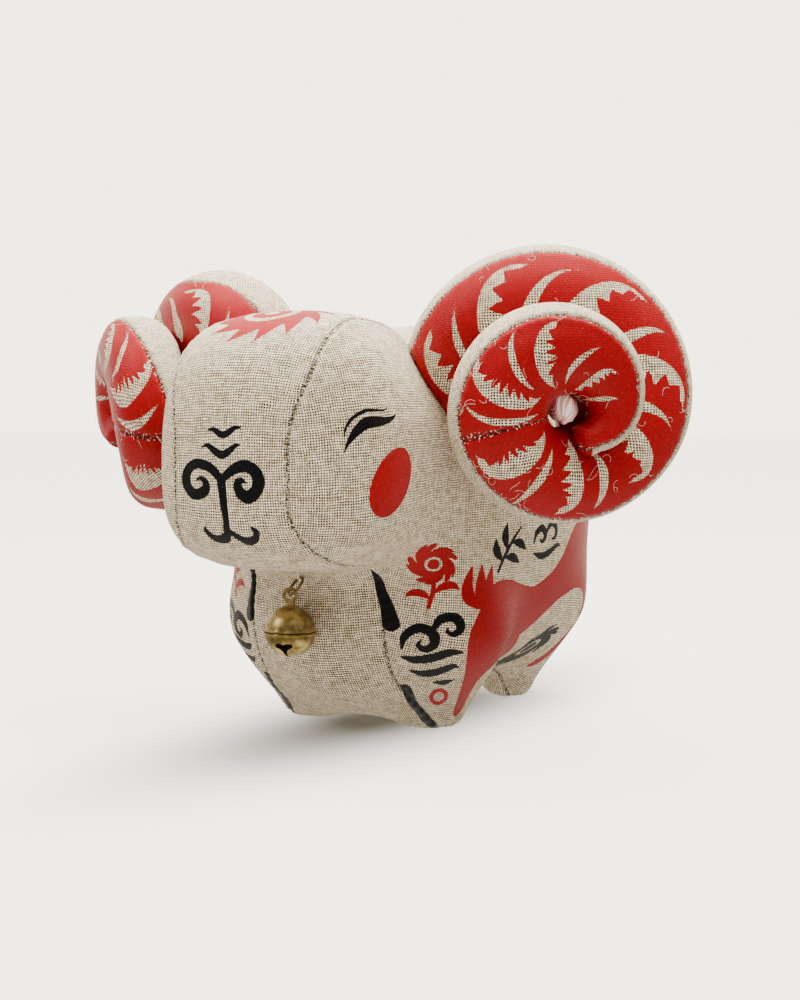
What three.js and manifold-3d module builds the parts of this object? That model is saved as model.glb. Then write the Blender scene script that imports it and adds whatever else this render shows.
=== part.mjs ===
// A small stuffed linen ram with two curled, printed horns and a brass bell under its chin.
// Millimetres, +Z up. The animal faces -Y, its left is +X, and its four feet stand on z = 0.
import * as THREE from 'three';
import { mergeVertices } from 'three/addons/utils/BufferGeometryUtils.js';
import Module from 'manifold-3d';

const wasm = await Module();
wasm.setup();

// Trunk
const TRUNK_HALF_WIDTH = 42;
const TRUNK_HALF_LENGTH = 50;
const TRUNK_HEIGHT = 103;
const BELLY_HEIGHT = 8;
const TRUNK_CENTRE_Y = 20.5;
const TRUNK_SQUARENESS = 2.2;

// Chest, the broad panel below the chin
const CHEST_HALF_WIDTH = 28;
const CHEST_HALF_DEPTH = 22;
const CHEST_HALF_HEIGHT = 27;
const CHEST_FRONT_Y = -37.5;
const CHEST_CENTRE_Z = 30;

// Head
const HEAD_HALF_WIDTH = 31.5;
const HEAD_HALF_LENGTH = 34;
const HEAD_BELOW_BACK = 0.5;
const CHIN_HEIGHT = 41;
const NOSE_HEIGHT = 64;
const NOSE_Y = -70.5;
const HEAD_SQUARENESS = 2.55;
const CROWN_SQUARENESS = 3;
const JAW_SQUARENESS = 3.3;

// Legs
const LEG_TOP_RADIUS = 15.5;
const LEG_TOP_HEIGHT = 26;
const FOOT_RADIUS = 9.5;
const FOOT_CENTRE_HEIGHT = 6.5;
const LEG_SPREAD = 3.5;
const FRONT_LEG_RAKE = 5;
const FRONT_FOOT_X = 19;
const FRONT_FOOT_Y = -4.5;
const HIND_FOOT_X = 14;
const HIND_FOOT_Y = 46.5;

// How softly the stuffed forms run into each other, and the size of the cloth's facets
const TRUNK_BLEND = 14;
const NECK_BLEND = 16;
const CHIN_FOLD_BLEND = 4;
const CHIN_FOLD_INNER_SHARE = 0.45;
const CHIN_FOLD_OUTER_SHARE = 1.1;
const LEG_BLEND = 14;
const FACET = 5.5;
const EVENING_ROUNDS = 2;
const SETTLING_ROUNDS = 6;

// Horns
const HORN_OUTWARD = 29;
const HORN_CENTRE_Y = -23.5;
const HORN_BELOW_BACK = 25;
const HORN_TURNED_FORWARD = 50;
const HORN_SECTION_SIDES = 14;
const HORN_STEP = 12;
const HORN_TIP_LENGTH = 24;
const HORN_TIP_RINGS = [0.4, 0.7, 0.9];
const HORN_STRETCH = 240;
const HORN_SQUARENESS = 2.3;
const HORN_REACH = 40;
// Each row: turn in degrees, then as shares of the reach: the outer rim's distance, the width across the coil,
// its thickness, and its place along the axis
const HORN_STATIONS = [
  [-40, 0.75, 0.55, 0.6, -1.1],
  [0, 0.775, 0.625, 0.65, -0.825],
  [45, 0.9, 0.725, 0.7, -0.65],
  [90, 0.98, 0.8, 0.75, -0.55],
  [135, 0.965, 0.8, 0.7, -0.475],
  [180, 0.865, 0.75, 0.65, -0.375],
  [225, 0.725, 0.625, 0.55, -0.25],
  [270, 0.65, 0.525, 0.488, -0.125],
  [360, 0.65, 0.57, 0.5, 0.0125],
  [450, 0.6, 0.525, 0.5, 0.025],
  [540, 0.458, 0.338, 0.425, 0.025],
  [600, 0.275, 0.2, 0.325, 0.0375],
];

// Tuft of gathered cloth in the middle of each curl
const KNOT_RADIUS = 2.7;
const KNOT_LENGTH = 9;
const KNOT_CRUMPLE = 0.12;
const KNOT_FOLDS = 5;
const KNOT_TWIST = 3;
const KNOT_BLUNTNESS = 0.7;

// Bell, ring and thread
const BELL_DIAMETER = 12;
const BELL_WALL = 0.45;
const BELL_CRIMP = 0.25;
const BELL_CRIMP_HEIGHT = 0.9;
const SLOT_TURN = 15;
const EYE_TURN = 60;
const SLOT_WIDTH = 0.8;
const HOLE_WIDTH = 3.6;
const HOLE_HEIGHT = 2.2;
const HOLE_DROP = 29;
const EYE_RADIUS = 1.55;
const EYE_WIRE = 0.7;
const NECK_LENGTH = 0.9;
const NECK_RADIUS = 1.3;
const NECK_TAPER = 0.7;
const BELL_SIDES = 18;
const BELL_STEPS = 5;
const RING_LENGTH = 6.8;
const RING_WIDTH = 4.2;
const RING_WIRE = 0.75;
const THREAD_LOOP_LENGTH = 2.6;
const THREAD_LOOP_WIDTH = 2.4;
const THREAD_THICKNESS = 0.6;
const THREAD_SEWN_DEPTH = 0.7;
const WIRE_STEPS = 18;
const WIRE_SIDES = 7;
const GREATEST_LEAN = 0.95;

// Clear space between pieces that touch on the real object
const GAP = 0.3;

const HALVINGS = 20;

const HEAD_TOP = TRUNK_HEIGHT - HEAD_BELOW_BACK;
const radians = THREE.MathUtils.degToRad;

// Distance to a rounded block, an ellipsoid where the squareness in plan and in height is 2
function blockDistance(point, centre, half, inPlan, inHeight) {
  const [x, y, z] = point.map((value, axis) => Math.abs(value - centre[axis]) / half[axis]);
  const round = Math.max((x ** inPlan + y ** inPlan) ** (1 / inPlan), 1e-9);
  const level = Math.max((round ** inHeight + z ** inHeight) ** (1 / inHeight), 1e-9);
  const sideways = (round / level) ** (inHeight - 1);
  const slopeX = sideways * (x / round) ** (inPlan - 1) / half[0];
  const slopeY = sideways * (y / round) ** (inPlan - 1) / half[1];
  const slopeZ = (z / level) ** (inHeight - 1) / half[2];
  return (level - 1) / Math.hypot(slopeX, slopeY, slopeZ);
}

// Distance to a limb with round ends of two radii
function limbDistance(point, top, topRadius, foot, footRadius) {
  const along = foot.map((value, axis) => value - top[axis]);
  const from = point.map((value, axis) => value - top[axis]);
  const dot = (a, b) => a[0] * b[0] + a[1] * b[1] + a[2] * b[2];
  const share = THREE.MathUtils.clamp(dot(from, along) / dot(along, along), 0, 1);
  const nearest = from.map((value, axis) => value - share * along[axis]);
  return Math.hypot(...nearest) - THREE.MathUtils.lerp(topRadius, footRadius, share);
}

function softJoin(a, b, blend) {
  const share = Math.max(blend - Math.abs(a - b), 0) / blend;
  return Math.min(a, b) - share * share * blend / 4;
}

// Distance to the trunk with its chest and legs, below zero inside
function trunkDistance(point) {
  const trunkHalfHeight = (TRUNK_HEIGHT - BELLY_HEIGHT) / 2;
  const trunk = blockDistance(
    point,
    [0, TRUNK_CENTRE_Y, BELLY_HEIGHT + trunkHalfHeight],
    [TRUNK_HALF_WIDTH, TRUNK_HALF_LENGTH, trunkHalfHeight],
    TRUNK_SQUARENESS,
    TRUNK_SQUARENESS,
  );
  const chest = blockDistance(
    point,
    [0, CHEST_FRONT_Y + CHEST_HALF_DEPTH, CHEST_CENTRE_Z],
    [CHEST_HALF_WIDTH, CHEST_HALF_DEPTH, CHEST_HALF_HEIGHT],
    2,
    2,
  );
  let legs = 2 * TRUNK_HALF_LENGTH;
  for (const side of [-1, 1]) {
    for (const [x, y, rake] of [
      [FRONT_FOOT_X, FRONT_FOOT_Y, FRONT_LEG_RAKE],
      [HIND_FOOT_X, HIND_FOOT_Y, 0],
    ]) {
      const leg = limbDistance(
        point,
        [side * (x + LEG_SPREAD), y - rake, LEG_TOP_HEIGHT],
        LEG_TOP_RADIUS,
        [side * x, y, FOOT_CENTRE_HEIGHT],
        FOOT_RADIUS,
      );
      legs = softJoin(legs, leg, LEG_BLEND);
    }
  }
  return softJoin(softJoin(trunk, chest, TRUNK_BLEND), legs, LEG_BLEND);
}

// Distance to the head, which is fullest at the nose and squarer in the jaw than in the crown
function headDistance(point) {
  const inCrown = point[2] > NOSE_HEIGHT;
  const halfHeight = inCrown ? HEAD_TOP - NOSE_HEIGHT : NOSE_HEIGHT - CHIN_HEIGHT;
  return blockDistance(
    point,
    [0, NOSE_Y + HEAD_HALF_LENGTH, NOSE_HEIGHT],
    [HEAD_HALF_WIDTH, HEAD_HALF_LENGTH, halfHeight],
    HEAD_SQUARENESS,
    inCrown ? CROWN_SQUARENESS : JAW_SQUARENESS,
  );
}

// Distance to the whole stuffed skin, with a tight fold under the chin and soft cheeks beside it
function skinDistance(point) {
  const share = Math.abs(point[0]) / HEAD_HALF_WIDTH;
  const besideChin = THREE.MathUtils.smoothstep(share, CHIN_FOLD_INNER_SHARE, CHIN_FOLD_OUTER_SHARE);
  const blend = THREE.MathUtils.lerp(CHIN_FOLD_BLEND, NECK_BLEND, besideChin);
  return softJoin(trunkDistance(point), headDistance(point), blend);
}

function slopeOf(distance, point) {
  const step = 0.01;
  return point.map((value, axis) => {
    const before = [...point];
    const after = [...point];
    before[axis] -= step;
    after[axis] += step;
    return (distance(after) - distance(before)) / (2 * step);
  });
}

// Moves a point along the slope until it lies on the surface
function settle(distance, point) {
  let settled = point;
  for (let round = 0; round < SETTLING_ROUNDS; round++) {
    const slope = slopeOf(distance, settled);
    const steep = slope[0] ** 2 + slope[1] ** 2 + slope[2] ** 2;
    const off = distance(settled) / steep;
    settled = settled.map((value, axis) => value - off * slope[axis]);
  }
  return settled;
}

// A closed mesh of the surface where distance is zero, one vertex in each cell that it crosses
function skinGeometry(distance, low, high, cell) {
  const start = [-Math.ceil(high[0] / cell), Math.floor(low[1] / cell), Math.floor(low[2] / cell)];
  const stop = high.map((value) => Math.ceil(value / cell));
  const size = stop.map((value, axis) => value - start[axis] + 1);
  const slot = (i, j, k) => (k * size[1] + j) * size[0] + i;
  const corner = (i, j, k) => [(start[0] + i) * cell, (start[1] + j) * cell, (start[2] + k) * cell];
  const values = new Float64Array(size[0] * size[1] * size[2]);
  const vertexOf = new Map();
  const positions = [];
  const faces = [];
  const eachCell = (action) => {
    for (let k = 0; k < size[2] - 1; k++) {
      for (let j = 0; j < size[1] - 1; j++) {
        for (let i = 0; i < size[0] - 1; i++) action(i, j, k);
      }
    }
  };
  for (let k = 0; k < size[2]; k++) {
    for (let j = 0; j < size[1]; j++) {
      for (let i = 0; i < size[0]; i++) values[slot(i, j, k)] = distance(corner(i, j, k));
    }
  }
  eachCell((i, j, k) => {
    const sum = [0, 0, 0];
    let crossings = 0;
    for (let edge = 0; edge < 12; edge++) {
      const axis = edge >> 2;
      const from = [i, j, k];
      from[(axis + 1) % 3] += edge & 1;
      from[(axis + 2) % 3] += (edge >> 1) & 1;
      const to = [...from];
      to[axis] += 1;
      const a = values[slot(...from)];
      const b = values[slot(...to)];
      if (a < 0 === b < 0) continue;
      const crossing = corner(...from);
      crossing[axis] += cell * a / (a - b);
      for (let c = 0; c < 3; c++) sum[c] += crossing[c];
      crossings += 1;
    }
    if (crossings === 0) return;
    vertexOf.set(slot(i, j, k), positions.length);
    positions.push(settle(distance, sum.map((value) => value / crossings)));
  });
  const apart = (a, b) => Math.hypot(...positions[a].map((value, c) => value - positions[b][c]));
  eachCell((i, j, k) => {
    for (let axis = 0; axis < 3; axis++) {
      const end = [i, j, k];
      end[axis] += 1;
      const a = values[slot(i, j, k)];
      const b = values[slot(...end)];
      if (a < 0 === b < 0) continue;
      const ring = [[0, 0], [1, 0], [1, 1], [0, 1]].map(([back, side]) => {
        const at = [i, j, k];
        at[(axis + 1) % 3] -= back;
        at[(axis + 2) % 3] -= side;
        return vertexOf.get(slot(...at));
      });
      if (a >= 0) ring.reverse();
      if (apart(ring[0], ring[2]) <= apart(ring[1], ring[3])) {
        faces.push(ring[0], ring[1], ring[2], ring[0], ring[2], ring[3]);
      } else {
        faces.push(ring[1], ring[2], ring[3], ring[1], ring[3], ring[0]);
      }
    }
  });
  for (let round = 0; round < EVENING_ROUNDS; round++) evenOut(distance, positions, faces);
  const geometry = new THREE.BufferGeometry();
  geometry.setAttribute('position', new THREE.Float32BufferAttribute(positions.flat(), 3));
  geometry.setIndex(faces);
  return geometry;
}

// Moves each vertex to the middle of its neighbours and back onto the surface
function evenOut(distance, positions, faces) {
  const sums = positions.map(() => [0, 0, 0]);
  const counts = positions.map(() => 0);
  for (let i = 0; i < faces.length; i++) {
    const here = faces[i];
    const next = faces[i - i % 3 + (i + 1) % 3];
    for (let c = 0; c < 3; c++) sums[here][c] += positions[next][c];
    counts[here] += 1;
  }
  sums.forEach((sum, i) => {
    positions[i] = settle(distance, sum.map((value) => value / counts[i]));
  });
}

function bareMesh(geometry) {
  const bare = geometry.clone();
  bare.deleteAttribute('normal');
  bare.deleteAttribute('uv');
  return mergeVertices(bare, 1e-4);
}

function toSolid(geometry) {
  const welded = bareMesh(geometry);
  const corners = welded.index.array;
  const kept = [];
  for (let i = 0; i < corners.length; i += 3) {
    const [a, b, c] = corners.slice(i, i + 3);
    if (a !== b && b !== c && c !== a) kept.push(a, b, c);
  }
  return new wasm.Manifold(new wasm.Mesh({
    numProp: 3,
    vertProperties: new Float32Array(welded.attributes.position.array),
    triVerts: new Uint32Array(kept),
  }));
}

function toGeometry(solid) {
  const mesh = solid.getMesh();
  const geometry = new THREE.BufferGeometry();
  geometry.setAttribute('position', new THREE.BufferAttribute(new Float32Array(mesh.vertProperties), 3));
  geometry.setIndex(new THREE.BufferAttribute(new Uint32Array(mesh.triVerts), 1));
  return geometry;
}

// The same mesh with each vertex moved outwards, so that its facets keep an even gap
function grown(geometry, gap) {
  const larger = bareMesh(geometry);
  larger.computeVertexNormals();
  const position = larger.attributes.position;
  const normal = larger.attributes.normal;
  for (let i = 0; i < position.count; i++) {
    position.setXYZ(
      i,
      position.getX(i) + gap * normal.getX(i),
      position.getY(i) + gap * normal.getY(i),
      position.getZ(i) + gap * normal.getZ(i),
    );
  }
  return larger;
}

function mirrored(geometry) {
  const copy = geometry.clone().applyMatrix4(new THREE.Matrix4().makeScale(-1, 1, 1));
  const order = copy.index.array;
  for (let i = 0; i < order.length; i += 3) [order[i], order[i + 1]] = [order[i + 1], order[i]];
  return copy;
}

// Cloth, ink and metal
function clothMaterial() {
  return new THREE.MeshStandardMaterial({ color: 0xc8bcaa, roughness: 0.95, metalness: 0 });
}

function inkedClothMaterial() {
  return new THREE.MeshStandardMaterial({ color: 0xb8101a, roughness: 0.45, metalness: 0 });
}

function tuftMaterial() {
  return new THREE.MeshStandardMaterial({ color: 0xe8d6d4, roughness: 0.9, metalness: 0 });
}

function brassMaterial() {
  return new THREE.MeshStandardMaterial({ color: 0xa98c46, roughness: 0.35, metalness: 1 });
}

function threadMaterial() {
  return new THREE.MeshStandardMaterial({ color: 0xcfc4ae, roughness: 0.95, metalness: 0 });
}

const figure = new THREE.Group();

function addPiece(name, geometry, material) {
  const mesh = new THREE.Mesh(geometry, material);
  mesh.name = name;
  figure.add(mesh);
}

// Body: one stuffed skin, cut off flat under its four feet
const skinRoom = 4 * FACET;
const skinHigh = [
  Math.max(TRUNK_HALF_WIDTH, HEAD_HALF_WIDTH, CHEST_HALF_WIDTH) + skinRoom,
  TRUNK_CENTRE_Y + TRUNK_HALF_LENGTH + skinRoom,
  Math.max(TRUNK_HEIGHT, HEAD_TOP) + skinRoom,
];
const skinLow = [-skinHigh[0], NOSE_Y - skinRoom, -FOOT_RADIUS - skinRoom];
const skin = skinGeometry(skinDistance, skinLow, skinHigh, FACET);
const floorDepth = 2 * FOOT_RADIUS + 2 * skinRoom;
const floorBlock = new THREE.BoxGeometry(4 * skinHigh[0], 4 * skinHigh[1] - 4 * skinLow[1], floorDepth);
floorBlock.translate(0, 0, -floorDepth / 2);
const bodySolid = toSolid(skin).subtract(toSolid(floorBlock));
const bodyGeometry = toGeometry(bodySolid);
addPiece('body', bodyGeometry, clothMaterial());
const bodyRoom = toSolid(grown(skin, GAP));

// Left horn: a tapered tube that leaves the side of the head and coils outwards one and three quarter turns
const hornCentre = new THREE.Vector3(
  HEAD_HALF_WIDTH + HORN_OUTWARD,
  HORN_CENTRE_Y,
  TRUNK_HEIGHT - HORN_BELOW_BACK,
);
const hornAxis = new THREE.Vector3(
  Math.cos(radians(HORN_TURNED_FORWARD)),
  -Math.sin(radians(HORN_TURNED_FORWARD)),
  0,
);
const hornRight = new THREE.Vector3(-hornAxis.y, hornAxis.x, 0);
const stationTurns = HORN_STATIONS.map((row) => row[0]);
const stationSizes = HORN_STATIONS.flatMap((row) => row.slice(1));
const hornSizes = new THREE.CubicInterpolant(stationTurns, stationSizes, 4);
const hornEnd = stationTurns[stationTurns.length - 1];

function hornRing(turn, shrink) {
  const sizes = [...hornSizes.evaluate(turn)].map((share) => share * HORN_REACH);
  const [reach, width, thickness, along] = sizes;
  const angle = radians(turn);
  const radial = hornRight.clone().multiplyScalar(-Math.cos(angle));
  radial.z = Math.sin(angle);
  const ring = [];
  for (let side = 0; side < HORN_SECTION_SIDES; side++) {
    const around = 2 * Math.PI * side / HORN_SECTION_SIDES;
    const rounded = (value) => Math.sign(value) * Math.abs(value) ** (2 / HORN_SQUARENESS);
    const across = reach - width / 2 + shrink * width / 2 * rounded(Math.cos(around));
    const out = along + shrink * thickness / 2 * rounded(Math.sin(around));
    ring.push(hornCentre.clone().addScaledVector(radial, across).addScaledVector(hornAxis, out));
  }
  return ring;
}

function tubeFromRings(rings, tip) {
  const positions = rings.flat().flatMap((point) => point.toArray());
  const faces = [];
  const sides = HORN_SECTION_SIDES;
  const average = (ring) => {
    const sum = new THREE.Vector3();
    for (const point of ring) sum.add(point);
    return sum.divideScalar(sides);
  };
  const rootVertex = rings.length * sides;
  const tipVertex = rootVertex + 1;
  const end = tip ?? average(rings[rings.length - 1]);
  positions.push(...average(rings[0]).toArray(), ...end.toArray());
  for (let row = 0; row < rings.length - 1; row++) {
    for (let side = 0; side < sides; side++) {
      const next = (side + 1) % sides;
      const a = row * sides + side;
      const b = row * sides + next;
      faces.push(a, b, a + sides, b, b + sides, a + sides);
    }
  }
  for (let side = 0; side < sides; side++) {
    const next = (side + 1) % sides;
    const last = (rings.length - 1) * sides;
    faces.push(rootVertex, next, side, tipVertex, last + side, last + next);
  }
  const geometry = new THREE.BufferGeometry();
  geometry.setAttribute('position', new THREE.Float32BufferAttribute(positions, 3));
  geometry.setIndex(faces);
  return geometry;
}

// The horn is joined from stretches of under a turn, because its coils press on each other
function hornSolid() {
  let solid = null;
  for (let from = stationTurns[0]; from < hornEnd; from += HORN_STRETCH) {
    const to = Math.min(from + HORN_STRETCH, hornEnd);
    const steps = Math.round((to - from) / HORN_STEP);
    const rings = [];
    for (let step = 0; step <= steps; step++) {
      rings.push(hornRing(THREE.MathUtils.lerp(from, to, step / steps), 1));
    }
    let tip = null;
    if (to === hornEnd) {
      for (const share of HORN_TIP_RINGS) {
        rings.push(hornRing(hornEnd + HORN_TIP_LENGTH * share, Math.sqrt(1 - share * share)));
      }
      tip = hornRing(hornEnd + HORN_TIP_LENGTH, 0)[0];
    }
    const stretch = toSolid(tubeFromRings(rings, tip));
    solid = solid ? solid.add(stretch) : stretch;
  }
  return solid;
}

// The tuft stands in the eye of the curl, along the curl's axis
function knotGeometry(grow) {
  const geometry = bareMesh(new THREE.IcosahedronGeometry(1, 1));
  const position = geometry.attributes.position;
  for (let i = 0; i < position.count; i++) {
    const height = position.getZ(i);
    const around = Math.atan2(position.getY(i), position.getX(i));
    const crumple = 1 + KNOT_CRUMPLE * Math.sin(KNOT_FOLDS * around + KNOT_TWIST * height);
    const blunt = Math.sign(height) * Math.abs(height) ** KNOT_BLUNTNESS;
    position.setXYZ(
      i,
      position.getX(i) * crumple * (KNOT_RADIUS + grow),
      position.getY(i) * crumple * (KNOT_RADIUS + grow),
      blunt * (KNOT_LENGTH / 2 + grow),
    );
  }
  geometry.rotateY(Math.PI / 2);
  geometry.rotateZ(-radians(HORN_TURNED_FORWARD));
  return geometry.translate(hornCentre.x, hornCentre.y, hornCentre.z);
}

const leftHorn = toGeometry(hornSolid().subtract(bodyRoom).subtract(toSolid(knotGeometry(GAP))));
const leftKnot = knotGeometry(0);
addPiece('horn_left', leftHorn, inkedClothMaterial());
addPiece('horn_right', mirrored(leftHorn), inkedClothMaterial());
addPiece('horn_knot_left', leftKnot, tuftMaterial());
addPiece('horn_knot_right', mirrored(leftKnot), tuftMaterial());

// Where the chest shows first when looked at from the front, at a height
function frontOf(z) {
  const step = 0.5;
  let outside = NOSE_Y - step;
  let inside = outside;
  while (skinDistance([0, inside, z]) > 0 && inside < TRUNK_CENTRE_Y) {
    outside = inside;
    inside += step;
  }
  for (let round = 0; round < HALVINGS; round++) {
    const middle = (outside + inside) / 2;
    if (skinDistance([0, middle, z]) > 0) outside = middle;
    else inside = middle;
  }
  return inside;
}

// The fold between chin and chest, where the way up the chest meets the head
const crease = new THREE.Vector3(0, frontOf(CHEST_CENTRE_Z), CHEST_CENTRE_Z);
const creaseStep = 0.25;
while (trunkDistance(crease.toArray()) < headDistance(crease.toArray()) && crease.z < HEAD_TOP) {
  crease.z += creaseStep;
  crease.y = frontOf(crease.z);
}

const bellRadius = BELL_DIAMETER / 2;
const bellReach = bellRadius + BELL_CRIMP;
const eyeHeight = bellRadius + NECK_LENGTH + EYE_RADIUS;
const eyeNormal = new THREE.Vector3(Math.sin(radians(EYE_TURN)), -Math.cos(radians(EYE_TURN)), 0);
const ringHalf = (RING_LENGTH - RING_WIRE) / 2;
const ringHalfWidth = (RING_WIDTH - RING_WIRE) / 2;
const threadGrip = (RING_WIRE + THREAD_THICKNESS) / 2 + GAP;

function ovalPoints(centre, along, halfLength, side, halfWidth) {
  const points = [];
  for (let i = 0; i < WIRE_STEPS; i++) {
    const angle = 2 * Math.PI * i / WIRE_STEPS;
    const point = centre.clone().addScaledVector(along, halfLength * Math.cos(angle));
    points.push(point.addScaledVector(side, halfWidth * Math.sin(angle)));
  }
  return points;
}

function ovalWire(points, wire) {
  const path = new THREE.CatmullRomCurve3(points, true);
  return bareMesh(new THREE.TubeGeometry(path, WIRE_STEPS, wire / 2, WIRE_SIDES, true));
}

// The furthest back that the bell can hang at a height and still clear the chest
function bellRoom(z) {
  let clear = Infinity;
  for (let step = 1 - HALVINGS; step < HALVINGS; step++) {
    const rise = step / HALVINGS;
    const bulge = bellReach * Math.sqrt(1 - rise * rise);
    clear = Math.min(clear, frontOf(z + rise * bellReach) - bulge);
  }
  return clear - GAP;
}

// Thread loop, ring and bell hang from the fold and lean out as far as the chest pushes the bell
function hang(threadHalf) {
  const chain = 2 * threadHalf - THREAD_SEWN_DEPTH - threadGrip + 2 * ringHalf;
  let lean = Math.asin(GREATEST_LEAN) / 2;
  for (let round = 0; round < HALVINGS; round++) {
    const out = crease.y - bellRoom(crease.z - chain * Math.cos(lean) - eyeHeight);
    lean = Math.asin(THREE.MathUtils.clamp(out / chain, 0, GREATEST_LEAN));
  }
  const up = new THREE.Vector3(0, Math.sin(lean), Math.cos(lean));
  const across = eyeNormal.clone().addScaledVector(up, -eyeNormal.dot(up)).normalize();
  const sideways = up.clone().cross(across);
  const threadCentre = crease.clone().addScaledVector(up, THREAD_SEWN_DEPTH - threadHalf);
  const ringCentre = threadCentre.clone().addScaledVector(up, threadGrip - threadHalf - ringHalf);
  const bellCentre = ringCentre.clone().addScaledVector(up, -ringHalf);
  bellCentre.z -= eyeHeight;
  return {
    ring: ovalPoints(ringCentre, up, ringHalf, across, ringHalfWidth),
    thread: ovalPoints(threadCentre, up, threadHalf, sideways, THREAD_LOOP_WIDTH / 2),
    bellCentre,
  };
}

// The thread is as long as it has to be for the ring to hang clear of the chin
let threadHalf = THREAD_LOOP_LENGTH / 2;
let hung = hang(threadHalf);
const ringRoom = RING_WIRE / 2 + 2 * GAP;
const touches = (point) => skinDistance(point.toArray()) < ringRoom;
while (hung.ring.some(touches) && threadHalf < RING_LENGTH) {
  threadHalf += THREAD_THICKNESS / 4;
  hung = hang(threadHalf);
}

// Brass cup turned about the upright axis: inner wall, flat rim with its crimp, outer wall
function cupGeometry() {
  const profile = [];
  const inner = bellRadius - BELL_WALL;
  const rim = GAP / 2;
  const innerStart = Math.asin(rim / inner);
  const outerStart = Math.asin(BELL_CRIMP_HEIGHT / 2 / bellRadius);
  const arc = (radius, angle) => new THREE.Vector2(radius * Math.cos(angle), radius * Math.sin(angle));
  for (let step = 0; step <= BELL_STEPS; step++) {
    profile.push(arc(inner, THREE.MathUtils.lerp(Math.PI / 2, innerStart, step / BELL_STEPS)));
  }
  profile.push(new THREE.Vector2(bellRadius + BELL_CRIMP, rim));
  profile.push(new THREE.Vector2(bellRadius + BELL_CRIMP, BELL_CRIMP_HEIGHT / 2));
  for (let step = 0; step <= BELL_STEPS; step++) {
    profile.push(arc(bellRadius, THREE.MathUtils.lerp(outerStart, Math.PI / 2, step / BELL_STEPS)));
  }
  profile[0].x = 0;
  profile[profile.length - 1].x = 0;
  return new THREE.LatheGeometry(profile, BELL_SIDES).rotateX(Math.PI / 2);
}

function bellUpper() {
  const neckHeight = NECK_LENGTH + 2 * BELL_WALL;
  const neck = new THREE.CylinderGeometry(NECK_RADIUS * NECK_TAPER, NECK_RADIUS, neckHeight, BELL_SIDES / 2);
  neck.rotateX(Math.PI / 2).translate(0, 0, bellRadius + NECK_LENGTH / 2);
  const eye = new THREE.TorusGeometry(EYE_RADIUS, EYE_WIRE / 2, WIRE_SIDES, BELL_SIDES);
  eye.rotateX(Math.PI / 2).translate(0, 0, eyeHeight);
  return toSolid(cupGeometry()).add(toSolid(neck)).add(toSolid(eye));
}

function bellLower() {
  const slotLength = 2 * bellRadius * Math.cos(radians(HOLE_DROP));
  const slotTop = -bellRadius * Math.sin(radians(HOLE_DROP));
  const slot = new THREE.BoxGeometry(SLOT_WIDTH, slotLength, bellRadius);
  slot.translate(0, 0, slotTop - bellRadius / 2);
  let cup = toSolid(cupGeometry().rotateX(Math.PI)).subtract(toSolid(slot));
  for (const end of [0, Math.PI]) {
    const hole = new THREE.CylinderGeometry(1, 1, bellRadius, BELL_SIDES / 2);
    hole.scale(HOLE_WIDTH / 2, 1, HOLE_HEIGHT / 2).translate(0, -bellRadius, 0);
    hole.rotateX(radians(HOLE_DROP)).rotateZ(end);
    cup = cup.subtract(toSolid(hole));
  }
  return cup;
}

function inBellPlace(solid, turn) {
  return toGeometry(solid).rotateZ(radians(turn)).translate(...hung.bellCentre.toArray());
}

addPiece('bell_upper', inBellPlace(bellUpper(), EYE_TURN), brassMaterial());
addPiece('bell_lower', inBellPlace(bellLower(), SLOT_TURN), brassMaterial());
addPiece('bell_ring', ovalWire(hung.ring, RING_WIRE), brassMaterial());
const thread = toSolid(ovalWire(hung.thread, THREAD_THICKNESS)).subtract(bodyRoom);
addPiece('bell_thread', toGeometry(thread), threadMaterial());

// The origin lies under the middle of the whole figure
const extent = new THREE.Box3().setFromObject(figure);
figure.position.y = -(extent.min.y + extent.max.y) / 2;

export default figure;
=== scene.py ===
import math
import bpy
import numpy as np
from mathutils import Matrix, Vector
from mathutils.bvhtree import BVHTree


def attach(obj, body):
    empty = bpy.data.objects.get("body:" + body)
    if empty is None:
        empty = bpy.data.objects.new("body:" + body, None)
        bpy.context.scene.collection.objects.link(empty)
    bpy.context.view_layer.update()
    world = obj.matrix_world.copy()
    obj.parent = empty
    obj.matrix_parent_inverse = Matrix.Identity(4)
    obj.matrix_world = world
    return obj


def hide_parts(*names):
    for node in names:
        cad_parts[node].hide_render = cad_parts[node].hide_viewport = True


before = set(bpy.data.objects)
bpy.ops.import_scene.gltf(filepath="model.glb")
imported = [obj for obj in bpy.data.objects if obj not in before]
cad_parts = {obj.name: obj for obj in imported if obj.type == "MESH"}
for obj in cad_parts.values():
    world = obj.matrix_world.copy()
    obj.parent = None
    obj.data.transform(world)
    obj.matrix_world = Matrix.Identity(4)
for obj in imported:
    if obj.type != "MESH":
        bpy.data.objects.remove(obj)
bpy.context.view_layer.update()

# Camera: it stands 451 mm from the figure, 30 degrees round from the nose towards the animal's left,
# a little over nose height, and looks 3 degrees down.
camera_turn = math.radians(30)
camera_tilt = math.radians(3.02)
camera_away = 0.451
camera = bpy.data.objects.new("camera", bpy.data.cameras.new("camera"))
bpy.context.scene.collection.objects.link(camera)
camera.location = (
    camera_away * math.sin(camera_turn),
    0.0075 - camera_away * math.cos(camera_turn),
    0.079,
)
camera.rotation_euler = (math.pi / 2 - camera_tilt, 0, camera_turn)
camera.data.sensor_width = 36
camera.data.lens = 62.7
bpy.context.scene.camera = camera

# Body: coarse unbleached linen, cut as two side panels and a long strip between them that runs up the
# chest, under the chin, over the face and back and round to the belly. It is sewn inside out, turned and
# stuffed hard, so that the seams pull in a little and the panels swell between them.
bpy.ops.object.select_all(action="DESELECT")


def select_only(piece):
    bpy.ops.object.select_all(action="DESELECT")
    bpy.context.view_layer.objects.active = piece
    piece.select_set(True)


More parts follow.
